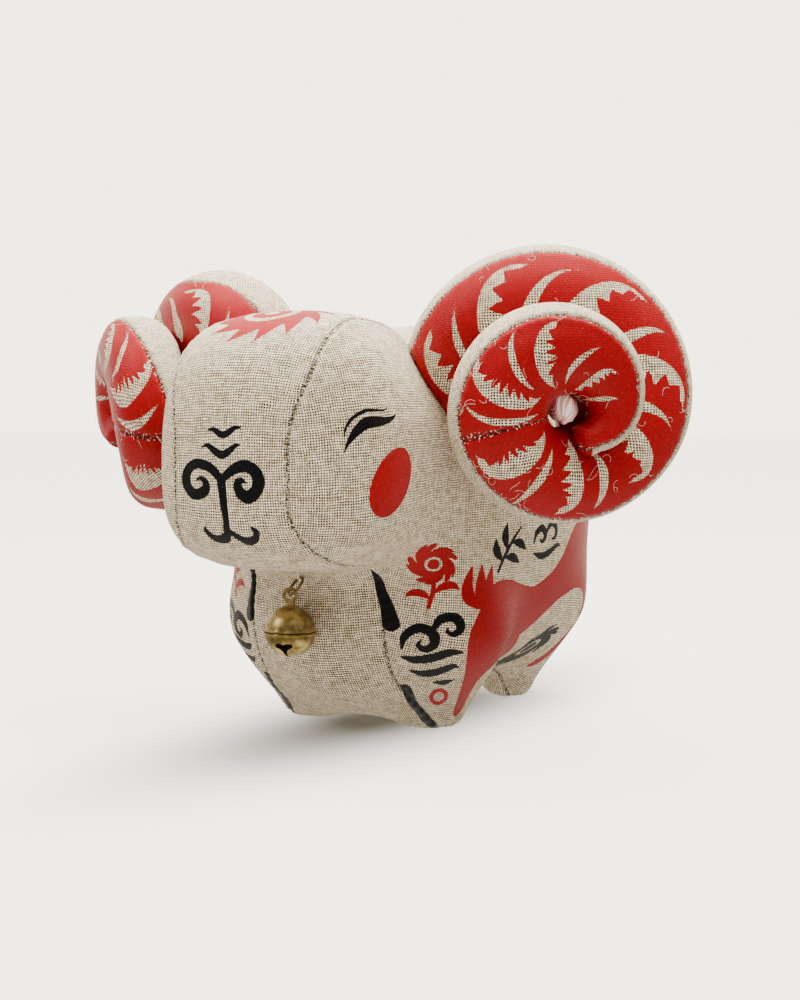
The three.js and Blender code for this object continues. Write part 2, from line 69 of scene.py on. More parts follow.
def added(name, mesh):
    piece = bpy.data.objects.new(name, mesh)
    bpy.context.scene.collection.objects.link(piece)
    select_only(piece)
    return piece


def edit_all(operator, **settings):
    bpy.ops.object.mode_set(mode="EDIT")
    bpy.ops.mesh.select_all(action="SELECT")
    operator(**settings)
    bpy.ops.object.mode_set(mode="OBJECT")


def face_outwards():
    edit_all(bpy.ops.mesh.normals_make_consistent, inside=False)


def copied(node, name):
    piece = added(name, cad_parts[node].data.copy())
    piece.data.materials.clear()
    edit_all(bpy.ops.mesh.remove_doubles, threshold=0.00002)
    return piece


def recut(piece, cell, rounds):
    piece.data.remesh_voxel_size = cell
    bpy.ops.object.voxel_remesh()
    edit_all(bpy.ops.mesh.vertices_smooth, factor=0.5, repeat=rounds)


def points_of(mesh):
    flat = np.empty(len(mesh.vertices) * 3)
    mesh.vertices.foreach_get("co", flat)
    return flat.reshape(-1, 3)


def normals_of(mesh):
    flat = np.empty(len(mesh.vertices) * 3)
    mesh.vertex_normals.foreach_get("vector", flat)
    return flat.reshape(-1, 3)


def move_points(mesh, points):
    mesh.vertices.foreach_set("co", points.ravel())
    mesh.update()


# The vertex at each face corner, each face's first corner, and the face that each corner belongs to
def corners_of(mesh):
    corners = np.empty(len(mesh.loops), dtype=np.int32)
    mesh.loops.foreach_get("vertex_index", corners)
    starts = np.empty(len(mesh.polygons), dtype=np.int32)
    mesh.polygons.foreach_get("loop_start", starts)
    face_count = np.append(starts[1:], len(corners)) - starts
    return corners, starts, np.repeat(np.arange(len(starts)), face_count)


def eased(low, high, value):
    share = np.clip((value - low) / (high - low), 0, 1)
    return share * share * (3 - 2 * share)


# The stuffing swells a skin past its place, so each skin is also drawn in by this much
stuffing_room = 0.0006
stuffing_pressure = 4.0
stuffing_frames = 20


def stuff(piece, held, most):
    start = points_of(piece.data)
    group = piece.vertex_groups.new(name="held")
    for index in np.nonzero(held > 0.01)[0]:
        group.add([int(index)], float(held[index]), "REPLACE")
    cloth = piece.modifiers.new("stuffing", "CLOTH")
    cloth.settings.quality = 4
    cloth.settings.mass = 0.2
    cloth.settings.use_pressure = True
    cloth.settings.uniform_pressure_force = stuffing_pressure
    cloth.settings.effector_weights.gravity = 0
    cloth.settings.vertex_group_mass = "held"
    cloth.collision_settings.use_collision = False
    for number in range(1, stuffing_frames + 1):
        bpy.context.scene.frame_set(number)
    solved = piece.evaluated_get(bpy.context.evaluated_depsgraph_get())
    move = points_of(solved.data) - start
    piece.modifiers.remove(cloth)
    piece.vertex_groups.remove(group)
    bpy.context.scene.frame_set(1)
    gone = np.linalg.norm(move, axis=1, keepdims=True)
    move *= np.minimum(1, most / np.maximum(gone, 1e-9))
    move_points(piece.data, start + move)


def finer(piece):
    step = piece.modifiers.new("finer", "SUBSURF")
    step.levels = step.render_levels = 1
    bpy.context.view_layer.objects.active = piece
    bpy.ops.object.modifier_apply(modifier=step.name)


def split_faces(piece, near):
    mesh = piece.data
    corners, starts, _ = corners_of(mesh)
    chosen = np.maximum.reduceat(near[corners].astype(np.int8), starts) > 0
    bpy.context.view_layer.objects.active = piece
    bpy.ops.object.mode_set(mode="EDIT")
    bpy.ops.mesh.select_mode(type="FACE")
    bpy.ops.mesh.select_all(action="DESELECT")
    bpy.ops.object.mode_set(mode="OBJECT")
    mesh.polygons.foreach_set("select", chosen)
    bpy.ops.object.mode_set(mode="EDIT")
    bpy.ops.mesh.subdivide(number_cuts=1, smoothness=1.0)
    bpy.ops.mesh.select_mode(type="VERT")
    bpy.ops.object.mode_set(mode="OBJECT")


# The strip between the side panels is 31 to 46 mm wide; its half width is given by place, in mm
def seam_width(y, z):
    slant = np.arctan2(z - 64, -(y + 36))
    head = 15.3 + 3.4 * eased(0.2, 0.8, np.abs(slant)) - 2 * eased(1.0, 1.5, slant)
    chest = 18.6 - 1.6 * eased(30, 42, z) + 2.9 * eased(16, 0, z)
    trunk = chest + (15.5 - chest) * eased(0, 30, y)
    share = eased(-30, -40, y) * eased(40.9, 41.6, z)
    back = eased(60, 80, z)
    return (trunk + (16.7 - trunk) * back) * (1 - share) + head * share


fold_height = 41.2


def seam_distances(points):
    x, y, z = 1000 * points.T
    across = np.abs(x) - seam_width(y, z)
    beside_fold = np.hypot(z - fold_height, np.maximum(np.abs(x) - 22, 0))
    fold = np.where(y < -28, beside_fold, 9.0)
    return across, fold


body = copied("body", "stuffed_body")
recut(body, 0.002, 5)

# The head narrows above the horns' roots, the back is a little lower there, and each foot is rounded off at
# its outer back corner: the foot's middle, the pull and its upper end in mm
points = points_of(body.data)
x, y, z = 1000 * points.T
narrow = 0.16 * eased(74, 94, z) * eased(-52, -22, y) * (1 - eased(0, 18, y))
points[:, 0] *= 1 - narrow
points[:, 2] -= 0.0016 * eased(70, 92, z) * eased(-8, 8, y)
for foot_x, foot_y, pull, top in ((19, -4.5, 2.6, 20), (14, 46.5, 3.0, 24)):
    past = 0.87 * (np.abs(x) - foot_x) + 0.5 * (y - foot_y)
    drawn = pull * eased(-8, 7, past) * eased(top, -2, z) * eased(26, 14, np.abs(y - foot_y))
    points[:, 0] -= 0.00087 * drawn * np.sign(x)
    points[:, 1] -= 0.0005 * drawn
move_points(body.data, points)
across, fold = seam_distances(points_of(body.data))
foot = 1 - eased(0.5, 5.0, 1000 * points_of(body.data)[:, 2])
held = np.maximum.reduce([1 - eased(0.8, 3.2, np.abs(across)), foot, 1 - eased(1, 4, fold)])
stuff(body, held, 0.0012)
move_points(body.data, points_of(body.data) - stuffing_room * (1 - held)[:, None] * normals_of(body.data))

# The strip's seams and the chin fold are cut as lines of edges, and each panel is laid flat for its weave
points = points_of(body.data)
points[:, 0] /= seam_width(1000 * points[:, 1], 1000 * points[:, 2]) / 1000
move_points(body.data, points)
for side in (-1, 1):
    edit_all(bpy.ops.mesh.bisect, plane_co=(side, 0, 0), plane_no=(1, 0, 0))
points = points_of(body.data)
points[:, 0] *= seam_width(1000 * points[:, 1], 1000 * points[:, 2]) / 1000
move_points(body.data, points)

mesh = body.data
mesh_points = 1000 * points_of(mesh)
ends = np.empty(len(mesh.edges) * 2, dtype=np.int32)
mesh.edges.foreach_get("vertices", ends)
ends = ends.reshape(-1, 2)
across, fold = seam_distances(points_of(mesh))
on_strip = np.abs(across) < 0.02
in_front = mesh_points[:, 1] < -28
below = (mesh_points[:, 2] < fold_height) & in_front
near_fold = in_front[ends].all(axis=1) & (fold[ends] < 3).all(axis=1)
corners, starts, face_of_corner = corners_of(mesh)
face_below = np.add.reduceat(below[corners].astype(float), starts) / np.bincount(face_of_corner) > 0.5
edge_of_corner = np.empty(len(mesh.loops), dtype=np.int32)
mesh.loops.foreach_get("edge_index", edge_of_corner)
all_below = np.ones(len(mesh.edges), dtype=bool)
some_below = np.zeros(len(mesh.edges), dtype=bool)
np.logical_and.at(all_below, edge_of_corner, face_below[face_of_corner])
np.logical_or.at(some_below, edge_of_corner, face_below[face_of_corner])
fold_edges = (all_below != some_below) & near_fold
seams = on_strip[ends].all(axis=1) | fold_edges
mesh.edges.foreach_set("use_seam", seams)
edit_all(bpy.ops.uv.unwrap, method="ANGLE_BASED", margin=0.0)


# Every panel's flat pattern is brought to its real size in mm and turned so that its threads stand upright
def lay_threads(mesh, upright):
    mesh.calc_loop_triangles()
    count = len(mesh.loop_triangles)
    corner = np.empty(count * 3, dtype=np.int32)
    mesh.loop_triangles.foreach_get("loops", corner)
    corner = corner.reshape(-1, 3)
    vertex = np.empty(count * 3, dtype=np.int32)
    mesh.loop_triangles.foreach_get("vertices", vertex)
    vertex = vertex.reshape(-1, 3)
    flat = np.empty(len(mesh.loops) * 2)
    mesh.uv_layers.active.data.foreach_get("uv", flat)
    flat = flat.reshape(-1, 2)
    points = 1000 * points_of(mesh)
    # corners that share a place in the flat pattern belong to one panel
    key = np.round(flat, 6)
    every, _, _ = corners_of(mesh)
    _, joined = np.unique(np.column_stack([every, key]), axis=0, return_inverse=True)
    joined = joined.ravel()
    panel = np.arange(joined.max() + 1)
    groups = joined[corner]
    for _ in range(400):
        least = panel[groups].min(axis=1)
        fresh = panel.copy()
        for c in range(3):
            np.minimum.at(fresh, groups[:, c], least)
        fresh = fresh[fresh]
        if (fresh == panel).all():
            break
        panel = fresh
    panel_of_triangle = panel[groups[:, 0]]
    one = points[vertex[:, 1]] - points[vertex[:, 0]]
    two = points[vertex[:, 2]] - points[vertex[:, 0]]
    flat_one = flat[corner[:, 1]] - flat[corner[:, 0]]
    flat_two = flat[corner[:, 2]] - flat[corner[:, 0]]
    area = np.linalg.norm(np.cross(one, two), axis=1)
    flat_area = np.abs(flat_one[:, 0] * flat_two[:, 1] - flat_one[:, 1] * flat_two[:, 0])
    goal = upright(points[vertex].mean(axis=1))
    ones = (one * one).sum(axis=1)
    twos = (two * two).sum(axis=1)
    both = (one * two).sum(axis=1)
    along_one = (one * goal).sum(axis=1)
    along_two = (two * goal).sum(axis=1)
    area_squared = np.maximum(ones * twos - both * both, 1e-12)
    a = (along_one * twos - along_two * both) / area_squared
    b = (along_two * ones - along_one * both) / area_squared
    direction = a[:, None] * flat_one + b[:, None] * flat_two
    laid = flat.copy()
    corner_panel = panel[joined]
    for which in np.unique(panel_of_triangle):
        mine = panel_of_triangle == which
        size = math.sqrt(area[mine].sum() / max(flat_area[mine].sum(), 1e-12))
        lean = (direction[mine] * area[mine][:, None]).sum(axis=0)
        turn = math.pi / 2 - math.atan2(lean[1], lean[0])
        own = corner_panel == which
        turned = np.array([[math.cos(turn), -math.sin(turn)], [math.sin(turn), math.cos(turn)]])
        laid[own] = size * flat[own] @ turned.T
    mesh.uv_layers.active.data.foreach_set("uv", laid.ravel())


def thread_way(middle):
    way = np.tile([0.0, 0.0, 1.0], (len(middle), 1))
    strip = np.abs(middle[:, 0]) < seam_width(middle[:, 1], middle[:, 2])
    slant = np.arctan2(middle[:, 2] - 55, middle[:, 1] + 10)
    way[strip] = np.column_stack([0 * slant, -np.sin(slant), np.cos(slant)])[strip]
    return way


lay_threads(body.data, thread_way)
body.data.uv_layers.active.name = "weave"
finer(body)

# Prints: opaque screen ink on the sewn panels, black for the face and the small marks, red for the cheeks,
# the sun on the forehead and the goat on the flank. Each is a line or a shape laid out on the unrolled skin.
# A line's rows give its place and half width in mm.
def ink_arc(middle, radii, angles_deg, half_widths):
    ends = (radii, np.radians(angles_deg), half_widths)
    radius, angle, half_width = [np.linspace(start, end, 6) for start, end in ends]
    return list(zip(middle[0] + radius * np.cos(angle), middle[1] + radius * np.sin(angle), half_width))


left_scroll = [(-0.6, 63.2, 0.9), (-2.8, 65.4, 1.1)]
left_scroll += ink_arc((-6.4, 63.1), (3.6, 3.55), (65, 250), (1.15, 1.3))
left_scroll += ink_arc((-6.1, 61.9), (1.75, 1.4), (-60, 150), (1.3, 0.1))
right_scroll = [(-0.6, 63.2, 0.9), (1.6, 64.9, 1.1)]
right_scroll += ink_arc((5.0, 62.9), (3.4, 3.6), (113, -70), (1.35, 1.5))
right_scroll += [(4.5, 60.1, 1.35), (3.6, 61.5, 1.15), (3.6, 62.7, 0.95), (4.4, 63.1, 0.7), (5.8, 62.5, 0.1)]
face_lines = [
    left_scroll,
    right_scroll,
    [(-0.6, 63.2, 1.1), (-0.2, 58.5, 1.0), (0, 54.5, 0.85), (-0.4, 51.1, 0.9)],
    [(-0.3, 51.1, 0.75), (-1.2, 50.1, 1.1), (-3.2, 49.7, 1.0), (-4.8, 50.2, 0.85), (-5.9, 51.4, 0.65),
     (-6.1, 52.1, 0.4), (-5.5, 52.7, 0.1)],
    [(0.4, 51.6, 0.65), (3.4, 49.8, 0.85), (5.3, 49.6, 0.95), (6.8, 50.3, 0.9), (7.3, 51.6, 0.75),
     (6.6, 52.4, 0.5), (5.9, 53, 0.1)],
    [(-4.3, 74.1, 0.1), (-2.7, 74.3, 0.55), (-0.2, 73.1, 0.85), (2.6, 74.6, 0.6), (4.5, 74.8, 0.1)],
    [(-5.7, 70.3, 0.1), (-4, 70.7, 0.55), (-0.4, 68.7, 0.95), (2.9, 70.7, 0.55), (4.4, 70.9, 0.1)],
]
eye_lines = [
    [(26, 72.7, 0.1), (26.6, 74.9, 0.35), (28.2, 76.9, 0.45), (31.2, 78.4, 0.45), (34.4, 78.5, 0.35),
     (36.6, 78.6, 0.25), (37.7, 79.2, 0.1)],
    [(26, 69.2, 0.1), (27, 71.4, 0.5), (28.6, 73.6, 1), (31.1, 75.6, 1.35), (33.7, 76, 1.25),
     (36.7, 76.2, 0.9), (39.4, 76.9, 0.45), (40.7, 77.8, 0.1)],
]
cheek_middle = (38.9, 62.5)
cheek_half = (6.4, 7.8)
cheek_lean = 0.34
far = 6.0


def smooth_line(rows, parts=5):
    rows = np.array(rows, dtype=float)
    before = np.vstack([2 * rows[0] - rows[1], rows[:-2]])
    after = np.vstack([rows[2:], 2 * rows[-1] - rows[-2]])
    way = []
    for a, b, c, d in zip(before, rows[:-1], rows[1:], after):
        for step in range(parts):
            t = step / parts
            way.append(b + 0.5 * t * (c - a + t * (2 * a - 5 * b + 4 * c - d + t * (3 * (b - c) + d - a))))
    return np.vstack([way, rows[-1:]])


def near_rows(u, v, rows, reach):
    beside = (u > rows[:, 0].min() - reach) & (u < rows[:, 0].max() + reach)
    return beside & (v > rows[:, 1].min() - reach) & (v < rows[:, 1].max() + reach)


# The share of a straight piece that lies before each point's foot on it, and the distance to that foot
def from_straight(u, v, start, end):
    du, dv = end[:2] - start[:2]
    share = np.clip(((u - start[0]) * du + (v - start[1]) * dv) / max(du * du + dv * dv, 1e-12), 0, 1)
    return share, np.hypot(u - start[0] - share * du, v - start[1] - share * dv)


# Distance in mm from a printed line's edge, negative in the ink
def line_distance(u, v, rows):
    rows = smooth_line(rows)
    nearest = np.full(u.shape, far)
    box = near_rows(u, v, rows, rows[:, 2].max() + 2)
    uu, vv = u[box], v[box]
    best = nearest[box]
    for start, end in zip(rows[:-1], rows[1:]):
        share, gap = from_straight(uu, vv, start, end)
        best = np.minimum(best, gap - (start[2] + share * (end[2] - start[2])))
    nearest[box] = best
    return nearest


# The same for a filled outline
def shape_distance(u, v, outline):
    result = np.full(u.shape, far)
    outline = np.array(outline, dtype=float)
    box = near_rows(u, v, outline, 2)
    uu, vv = u[box], v[box]
    best = np.full(uu.shape, 1e9)
    inside = np.zeros(uu.shape, dtype=bool)
    for start, end in zip(outline, np.roll(outline, -1, axis=0)):
        _, gap = from_straight(uu, vv, start, end)
        best = np.minimum(best, gap)
        if start[1] != end[1]:
            crossing = start[0] + (vv - start[1]) * (end[0] - start[0]) / (end[1] - start[1])
            inside ^= ((start[1] > vv) != (end[1] > vv)) & (uu < crossing)
    result[box] = np.where(inside, -best, best)
    return result


def oval_distance(u, v, middle, half, lean=0.0):
    up = v - middle[1]
    right = u - middle[0] - lean * up
    return (np.hypot(right / half[0], up / half[1]) - 1) * min(half)


sun_y = -50.8
sun_z = 101


def sun_distance(x, y, z):
    away = np.sqrt(x * x + (y - sun_y) ** 2 + (z - sun_z) ** 2)
    ring = np.abs(away - 3.25) - 1.45
    disc = np.abs(away - 8.6) - 2.0
    swirl = np.arctan2(x, y - sun_y) - 0.075 * np.maximum(away - 10, 0)
    rays = 11
    apart = np.abs((swirl * rays / (2 * np.pi)) % 1 - 0.5) * 2 * np.pi / rays * away
    ray = apart - 2.9 * (1 - eased(9.5, 15.6, away)) + np.maximum(away - 15.4, 0)
    ray = np.where(away < 9.5, far, ray)
    return np.minimum(np.minimum(ring, disc), np.minimum(ray, far))


goat_outline = smooth_line([
    (34.5, 31), (36, 35), (40, 37.3), (45, 37.3), (51, 35.5), (58, 34.6), (64, 36.3), (68.5, 38.6),
    (72.5, 42.6), (75.5, 47), (79, 49.5), (85, 50), (93, 50), (99, 51), (103.5, 54.5), (106, 58.5),
    (109.5, 61), (114, 60.5), (118.5, 57.5), (121.5, 54), (121, 51.8), (117.5, 51.8), (114.5, 50.5),
    (113, 46.5), (113.5, 42), (112, 37.5), (113.5, 33), (118, 28), (120.5, 22.5), (119, 20.5),
    (117, 22.5), (113, 27.5), (107, 31.5), (105.5, 27), (106, 20), (105, 13), (103, 9.5), (100.8, 10),
    (101.3, 15), (101, 22), (98.5, 29), (92, 31.5), (85, 30.5), (78.5, 28.5), (73, 25), (66, 21),
    (58, 19.3), (52, 18.8), (46, 17.5), (40, 15.5), (36.5, 12.5), (35, 8.5), (34, 5), (32.5, 3.5),
    (31, 4), (31.4, 8), (32, 14.4), (31.8, 23.8), (33, 28), (34.5, 31),
], 3)[:-1]
goat_lines = [
    [(34.2, 32.1, 0.9), (32.2, 34, 1.5), (31.9, 37, 1.3), (33.2, 41.2, 0.3)],
    [(34.5, 33, 1.2), (35.2, 37, 1.4), (35.8, 41.3, 0.3)],
    [(35.5, 33.5, 1.2), (37.4, 37, 1.2), (38.6, 40.8, 0.3)],
    [(56, 22, 4), (66, 18, 2.5), (74, 14.6, 1.5), (77, 12.5, 0.8)],
    [(108, 60, 1.3), (104, 63.5, 1.1), (99, 63.8, 0.7), (95.5, 61, 0.2)],
    [(116.5, 52, 0.9), (117.5, 47.5, 0.3)],
]
goat_eye = (115.3, 57.2)


blossom_middle = (24.7, 42.4)
blossom_leaves = [
    [(24.9, 39.5, 0.4), (24.6, 36, 0.5), (23.7, 32.2, 0.45)],
    [(24.6, 35.4, 0.15), (26.6, 37, 0.9), (28.6, 37.2, 0.85), (30, 36.2, 0.15)],
    [(24.2, 34, 0.15), (22.4, 35.5, 0.85), (20.6, 35.7, 0.8), (19.3, 34.8, 0.15)],
]


def blossom_distance(u, v, middle, size, petals):
    away = np.hypot(u - middle[0], v - middle[1]) / size
    angle = np.arctan2(v - middle[1], u - middle[0]) + 0.35 * away
    petal = np.abs((angle * petals / (2 * np.pi) + 0.75) % 1 - 0.5)
    edge = 3.3 + 1.9 * np.sqrt(np.clip(1 - (2.15 * petal) ** 2, 0, 1)) - 0.7 * np.exp(-(petal / 0.06) ** 2)
    stamens = np.abs(away - 1.5) - 0.25
    return np.maximum(away - edge, -stamens) * size


chest_lines = [
    [(13.5, 41.3, 0.2), (14.3, 38.9, 0.8), (14.9, 35.7, 1.05), (15.8, 32.6, 1.3), (16.6, 28.3, 1.75)],
    [(17.8, 12.5, 0.2), (18.9, 12, 1.1), (19.9, 8.7, 1.15), (21.4, 5.8, 1.15), (23.5, 2.9, 1.15),
     (25.8, 1, 1.05)],
]
cloud_lines = [
    [(18.5, 22.5, 0.3), (19.2, 25.5, 0.9), (21.8, 27.4, 1.15), (24.4, 26.2, 1.15), (24.9, 23.6, 1.05),
     (23.2, 22.2, 0.85), (21.7, 23.2, 0.55), (22.3, 24.5, 0.2)],
    [(24.4, 26.6, 0.5), (26.2, 29.4, 1.05), (29, 29.6, 1.15), (30.2, 27.3, 1.0), (28.9, 25.7, 0.75),
     (27.4, 26.4, 0.4), (27.7, 27.4, 0.15)],
    [(18.4, 20.4, 0.25), (21, 19.6, 0.95), (24.5, 20, 1.1), (28, 21.2, 1.0), (30.8, 21.1, 0.3)],
    [(20, 16.8, 0.25), (22.5, 16, 0.85), (25.5, 16.3, 1.0), (28.8, 17.6, 0.75), (30.2, 17.3, 0.2)],
    [(25, 13.6, 0.3), (27.4, 13.4, 0.7), (29.6, 14, 0.2)],
]
leaf_lines = [
    [(40.5, 39.5, 0.35), (43, 43, 0.5), (46, 46.8, 0.45), (49, 50, 0.25)],
    [(42.2, 42, 0.2), (40.6, 44.4, 1.25), (40.4, 47.4, 0.2)],
    [(44.2, 44.6, 0.2), (43.4, 47.8, 1.25), (44, 51, 0.2)],
    [(43.2, 42.8, 0.2), (46.2, 42.6, 1.2), (48.6, 41.2, 0.2)],
    [(45.8, 46.4, 0.2), (48.8, 46, 1.2), (51.2, 44.4, 0.2)],
]
small_cloud_lines = [
    [(54.5, 45.6, 0.3), (55.4, 48.2, 0.8), (57.8, 49.2, 0.95), (59.6, 47.4, 0.85), (58.5, 45.8, 0.6),
     (57.2, 46.4, 0.3)],
    [(59.8, 48, 0.5), (62, 50.2, 0.9), (64.6, 49.4, 0.95), (65.2, 47, 0.75), (63.5, 46.2, 0.4)],
    [(55, 43, 0.3), (58.5, 42.2, 0.9), (62.5, 42.8, 0.95), (66.5, 44.4, 0.7), (68.6, 44.2, 0.2)],
]
hind_lines = [
    [(110.5, 6, 0.3), (112, 9, 0.9), (114.5, 14, 0.6), (116, 19, 0.2)],
    [(88, 9.5, 0.8), (93, 7, 0.9), (96, 5.5, 0.4)],
]
flower_middle = (89, 15.7)
ring_middle = (26.4, 9.5)


# The head and the trunk each unroll as a round post with its own radius and upright axis
head_radius, head_axis_y = 32, -36.5
trunk_radius, trunk_axis_y = 45, 20.5


def body_inks(points):
    x, y, z = 1000 * points.T
    red = np.full(len(x), far)
    black = np.full(len(x), far)
    head = (y < -16) & (z > 42.5 + 5.5 * eased(-44, -34, y))
    u = head_radius * np.arctan2(x, head_axis_y - y)
    face_u = np.where(u < 0, 0.94 * u, u) + 0.3
    for rows in face_lines:
        black = np.where(head, np.minimum(black, line_distance(face_u, z, rows)), black)
    for rows in eye_lines:
        black = np.where(head, np.minimum(black, line_distance(np.abs(u), z, rows)), black)
    cheek = oval_distance(np.abs(u), z, cheek_middle, cheek_half, cheek_lean)
    red = np.where(head, np.minimum(red, cheek), red)
    red = np.where(z > 80, np.minimum(red, sun_distance(x, y, z)), red)
    u = np.abs(trunk_radius * np.arctan2(x, trunk_axis_y - y))
    trunk = ~head
    for rows in chest_lines + cloud_lines + leaf_lines + small_cloud_lines + hind_lines:
        black = np.where(trunk, np.minimum(black, line_distance(u, z, rows)), black)
    flower = blossom_distance(u, z, flower_middle, 1.25, 7)
    black = np.where(trunk, np.minimum(black, flower), black)
    goat = shape_distance(u, z, goat_outline)
    for rows in goat_lines:
        goat = np.minimum(goat, line_distance(u, z, rows))
    goat = np.maximum(goat, 0.8 - np.hypot(u - goat_eye[0], z - goat_eye[1]))
    goat = np.minimum(goat, blossom_distance(u, z, blossom_middle, 1.0, 5))
    for rows in blossom_leaves:
        goat = np.minimum(goat, line_distance(u, z, rows))
    ring = np.abs(np.hypot(u - ring_middle[0], z - ring_middle[1]) - 1.8) - 0.55
    goat = np.minimum(goat, ring)
    red = np.where(trunk, np.minimum(red, goat), red)
    return np.minimum(red, far), np.minimum(black, far)


# Faces near a print's edge are split twice, and those along the seams once, so that both come out sharp
for reach in (0.9, 0.5):
    points = points_of(body.data)
    red, black = body_inks(points)
    across, fold = seam_distances(points)
    near = (np.abs(red) < reach) | (np.abs(black) < reach)
    if reach > 0.6:
        near |= np.abs(across) < 1.4
    split_faces(body, near)

# Each seam draws the cloth in and puckers it a little
points = points_of(body.data)
across, fold = seam_distances(points)
in_crease = eased(1.6, 0.4, np.abs(points[:, 2] * 1000 - fold_height)) * (points[:, 1] < -0.03)
seam_gap = np.minimum(np.abs(across) + 3 * in_crease, far)
x, y, z = 1000 * points.T
seam_run = np.degrees(np.arctan2(z - 55, y)) * 0.9
pucker = 0.09 * np.sin(2.4 * seam_run) * np.exp(-(seam_gap / 2.2) ** 2)
sunk = 0.5 * np.exp(-(seam_gap / 0.7) ** 2) + pucker
move_points(body.data, points - 0.001 * sunk[:, None] * normals_of(body.data))


def note(mesh, name, values):
    layer = mesh.attributes.new(name, "FLOAT", "POINT")
    layer.data.foreach_set("value", np.asarray(values, dtype=np.float32))


red, black = body_inks(points)
note(body.data, "red_edge", red)
note(body.data, "black_edge", black)
note(body.data, "seam", seam_gap)
note(body.data, "seam_run", seam_run)


# Linen: plain weave of uneven, slubby threads 0.59 mm apart, pale and dull, with painted shade in the gaps
# between them and on the low parts of each thread
def colour(red, green, blue):
    def light(value):
        value /= 255
        return value / 12.92 if value <= 0.04045 else ((value + 0.055) / 1.055) ** 2.4
    return (light(red), light(green), light(blue), 1)


def node(tree, kind, joins=(), **settings):
    made = tree.nodes.new(kind)
    for name, value in settings.items():
        setattr(made, name, value)
    for name, value in joins:
        if isinstance(value, bpy.types.NodeSocket):
            tree.links.new(value, made.inputs[name])
        else:
            made.inputs[name].default_value = value
    return made


def reckon(tree, operation, *values):
    return node(tree, "ShaderNodeMath", list(enumerate(values)), operation=operation).outputs[0]


def product(tree, first, *others):
    for other in others:
        first = reckon(tree, "MULTIPLY", first, other)
    return first


def spread(tree, value, low, high, new_low, new_high):
    joins = [(0, value), (1, low), (2, high), (3, new_low), (4, new_high)]
    return node(tree, "ShaderNodeMapRange", joins, interpolation_type="SMOOTHSTEP").outputs[0]


def mixed(tree, share, first, second):
    joins = [(0, share), (6, first), (7, second)]
    return node(tree, "ShaderNodeMix", joins, data_type="RGBA").outputs[2]


def noted(tree, name):
    return node(tree, "ShaderNodeAttribute", attribute_name=name).outputs[2]


def bump(tree, surface, strength, distance, height):
    joins = [("Strength", strength), ("Distance", distance), ("Height", height)]
    tree.links.new(node(tree, "ShaderNodeBump", joins).outputs[0], surface.inputs["Normal"])


def noise(tree, place, scale, detail=2.0, rough=0.5):
    joins = [("Vector", place), ("Scale", scale), ("Detail", detail), ("Roughness", rough)]
    return node(tree, "ShaderNodeTexNoise", joins).outputs[0]


# A thread's height and shade where it lies on top, the holes between threads, and the place on the cloth
def weave(tree, pitch):
    flat = node(tree, "ShaderNodeUVMap", uv_map="weave").outputs[0]
    wander = node(tree, "ShaderNodeTexNoise", [("Vector", flat), ("Scale", 0.3), ("Detail", 2.0)])
    bent = node(tree, "ShaderNodeVectorMath", [(0, wander.outputs[1]), (1, (0.5, 0.5, 0.5))],
                operation="SUBTRACT").outputs[0]
    bent = node(tree, "ShaderNodeVectorMath", [(0, bent), ("Scale", 0.8)], operation="SCALE").outputs[0]
    moved = node(tree, "ShaderNodeVectorMath", [(0, flat), (1, bent)], operation="ADD").outputs[0]
    apart = node(tree, "ShaderNodeSeparateXYZ", [(0, moved)])
    u = reckon(tree, "DIVIDE", apart.outputs[0], pitch)
    v = reckon(tree, "DIVIDE", apart.outputs[1], pitch)
    lengthwise = 0.13
    warp_place = node(tree, "ShaderNodeCombineXYZ", [
        (0, reckon(tree, "FLOOR", u)), (1, reckon(tree, "MULTIPLY", v, lengthwise)),
    ])
    weft_place = node(tree, "ShaderNodeCombineXYZ", [
        (0, reckon(tree, "MULTIPLY", u, lengthwise)), (1, reckon(tree, "FLOOR", v)), (2, 7.0),
    ])
    warp_shade = noise(tree, warp_place.outputs[0], 1.9, 3.0, 0.65)
    weft_shade = noise(tree, weft_place.outputs[0], 1.9, 3.0, 0.65)
    wave_u = reckon(tree, "SINE", reckon(tree, "MULTIPLY", u, math.pi))
    wave_v = reckon(tree, "SINE", reckon(tree, "MULTIPLY", v, math.pi))
    over = reckon(tree, "GREATER_THAN", reckon(tree, "MULTIPLY", wave_u, wave_v), 0.0)
    warp_near = reckon(tree, "ABSOLUTE", wave_u)
    weft_near = reckon(tree, "ABSOLUTE", wave_v)
    warp_high = reckon(tree, "MULTIPLY", reckon(tree, "POWER", warp_near, 0.6),
                       reckon(tree, "MULTIPLY_ADD", weft_near, 0.5, 0.5))
    weft_high = reckon(tree, "MULTIPLY", reckon(tree, "POWER", weft_near, 0.6),
                       reckon(tree, "MULTIPLY_ADD", warp_near, 0.5, 0.5))
    height = node(tree, "ShaderNodeMix", [(0, over), (2, weft_high), (3, warp_high)]).outputs[0]
    shade = node(tree, "ShaderNodeMix", [(0, over), (2, weft_shade), (3, warp_shade)]).outputs[0]
    thick = reckon(tree, "ADD", warp_shade, weft_shade)
    opening = spread(tree, thick, 0.75, 1.25, 0.9, 0.76)
    farthest = reckon(tree, "MAXIMUM", warp_near, weft_near)
    hole = spread(tree, reckon(tree, "SUBTRACT", farthest, opening), -0.1, 0.1, 1.0, 0.0)
    return height, shade, hole, moved


linen_light = colour(255, 242, 217)
linen_dark = colour(220, 194, 158)
painted_weave_shade = colour(14, 8, 3)


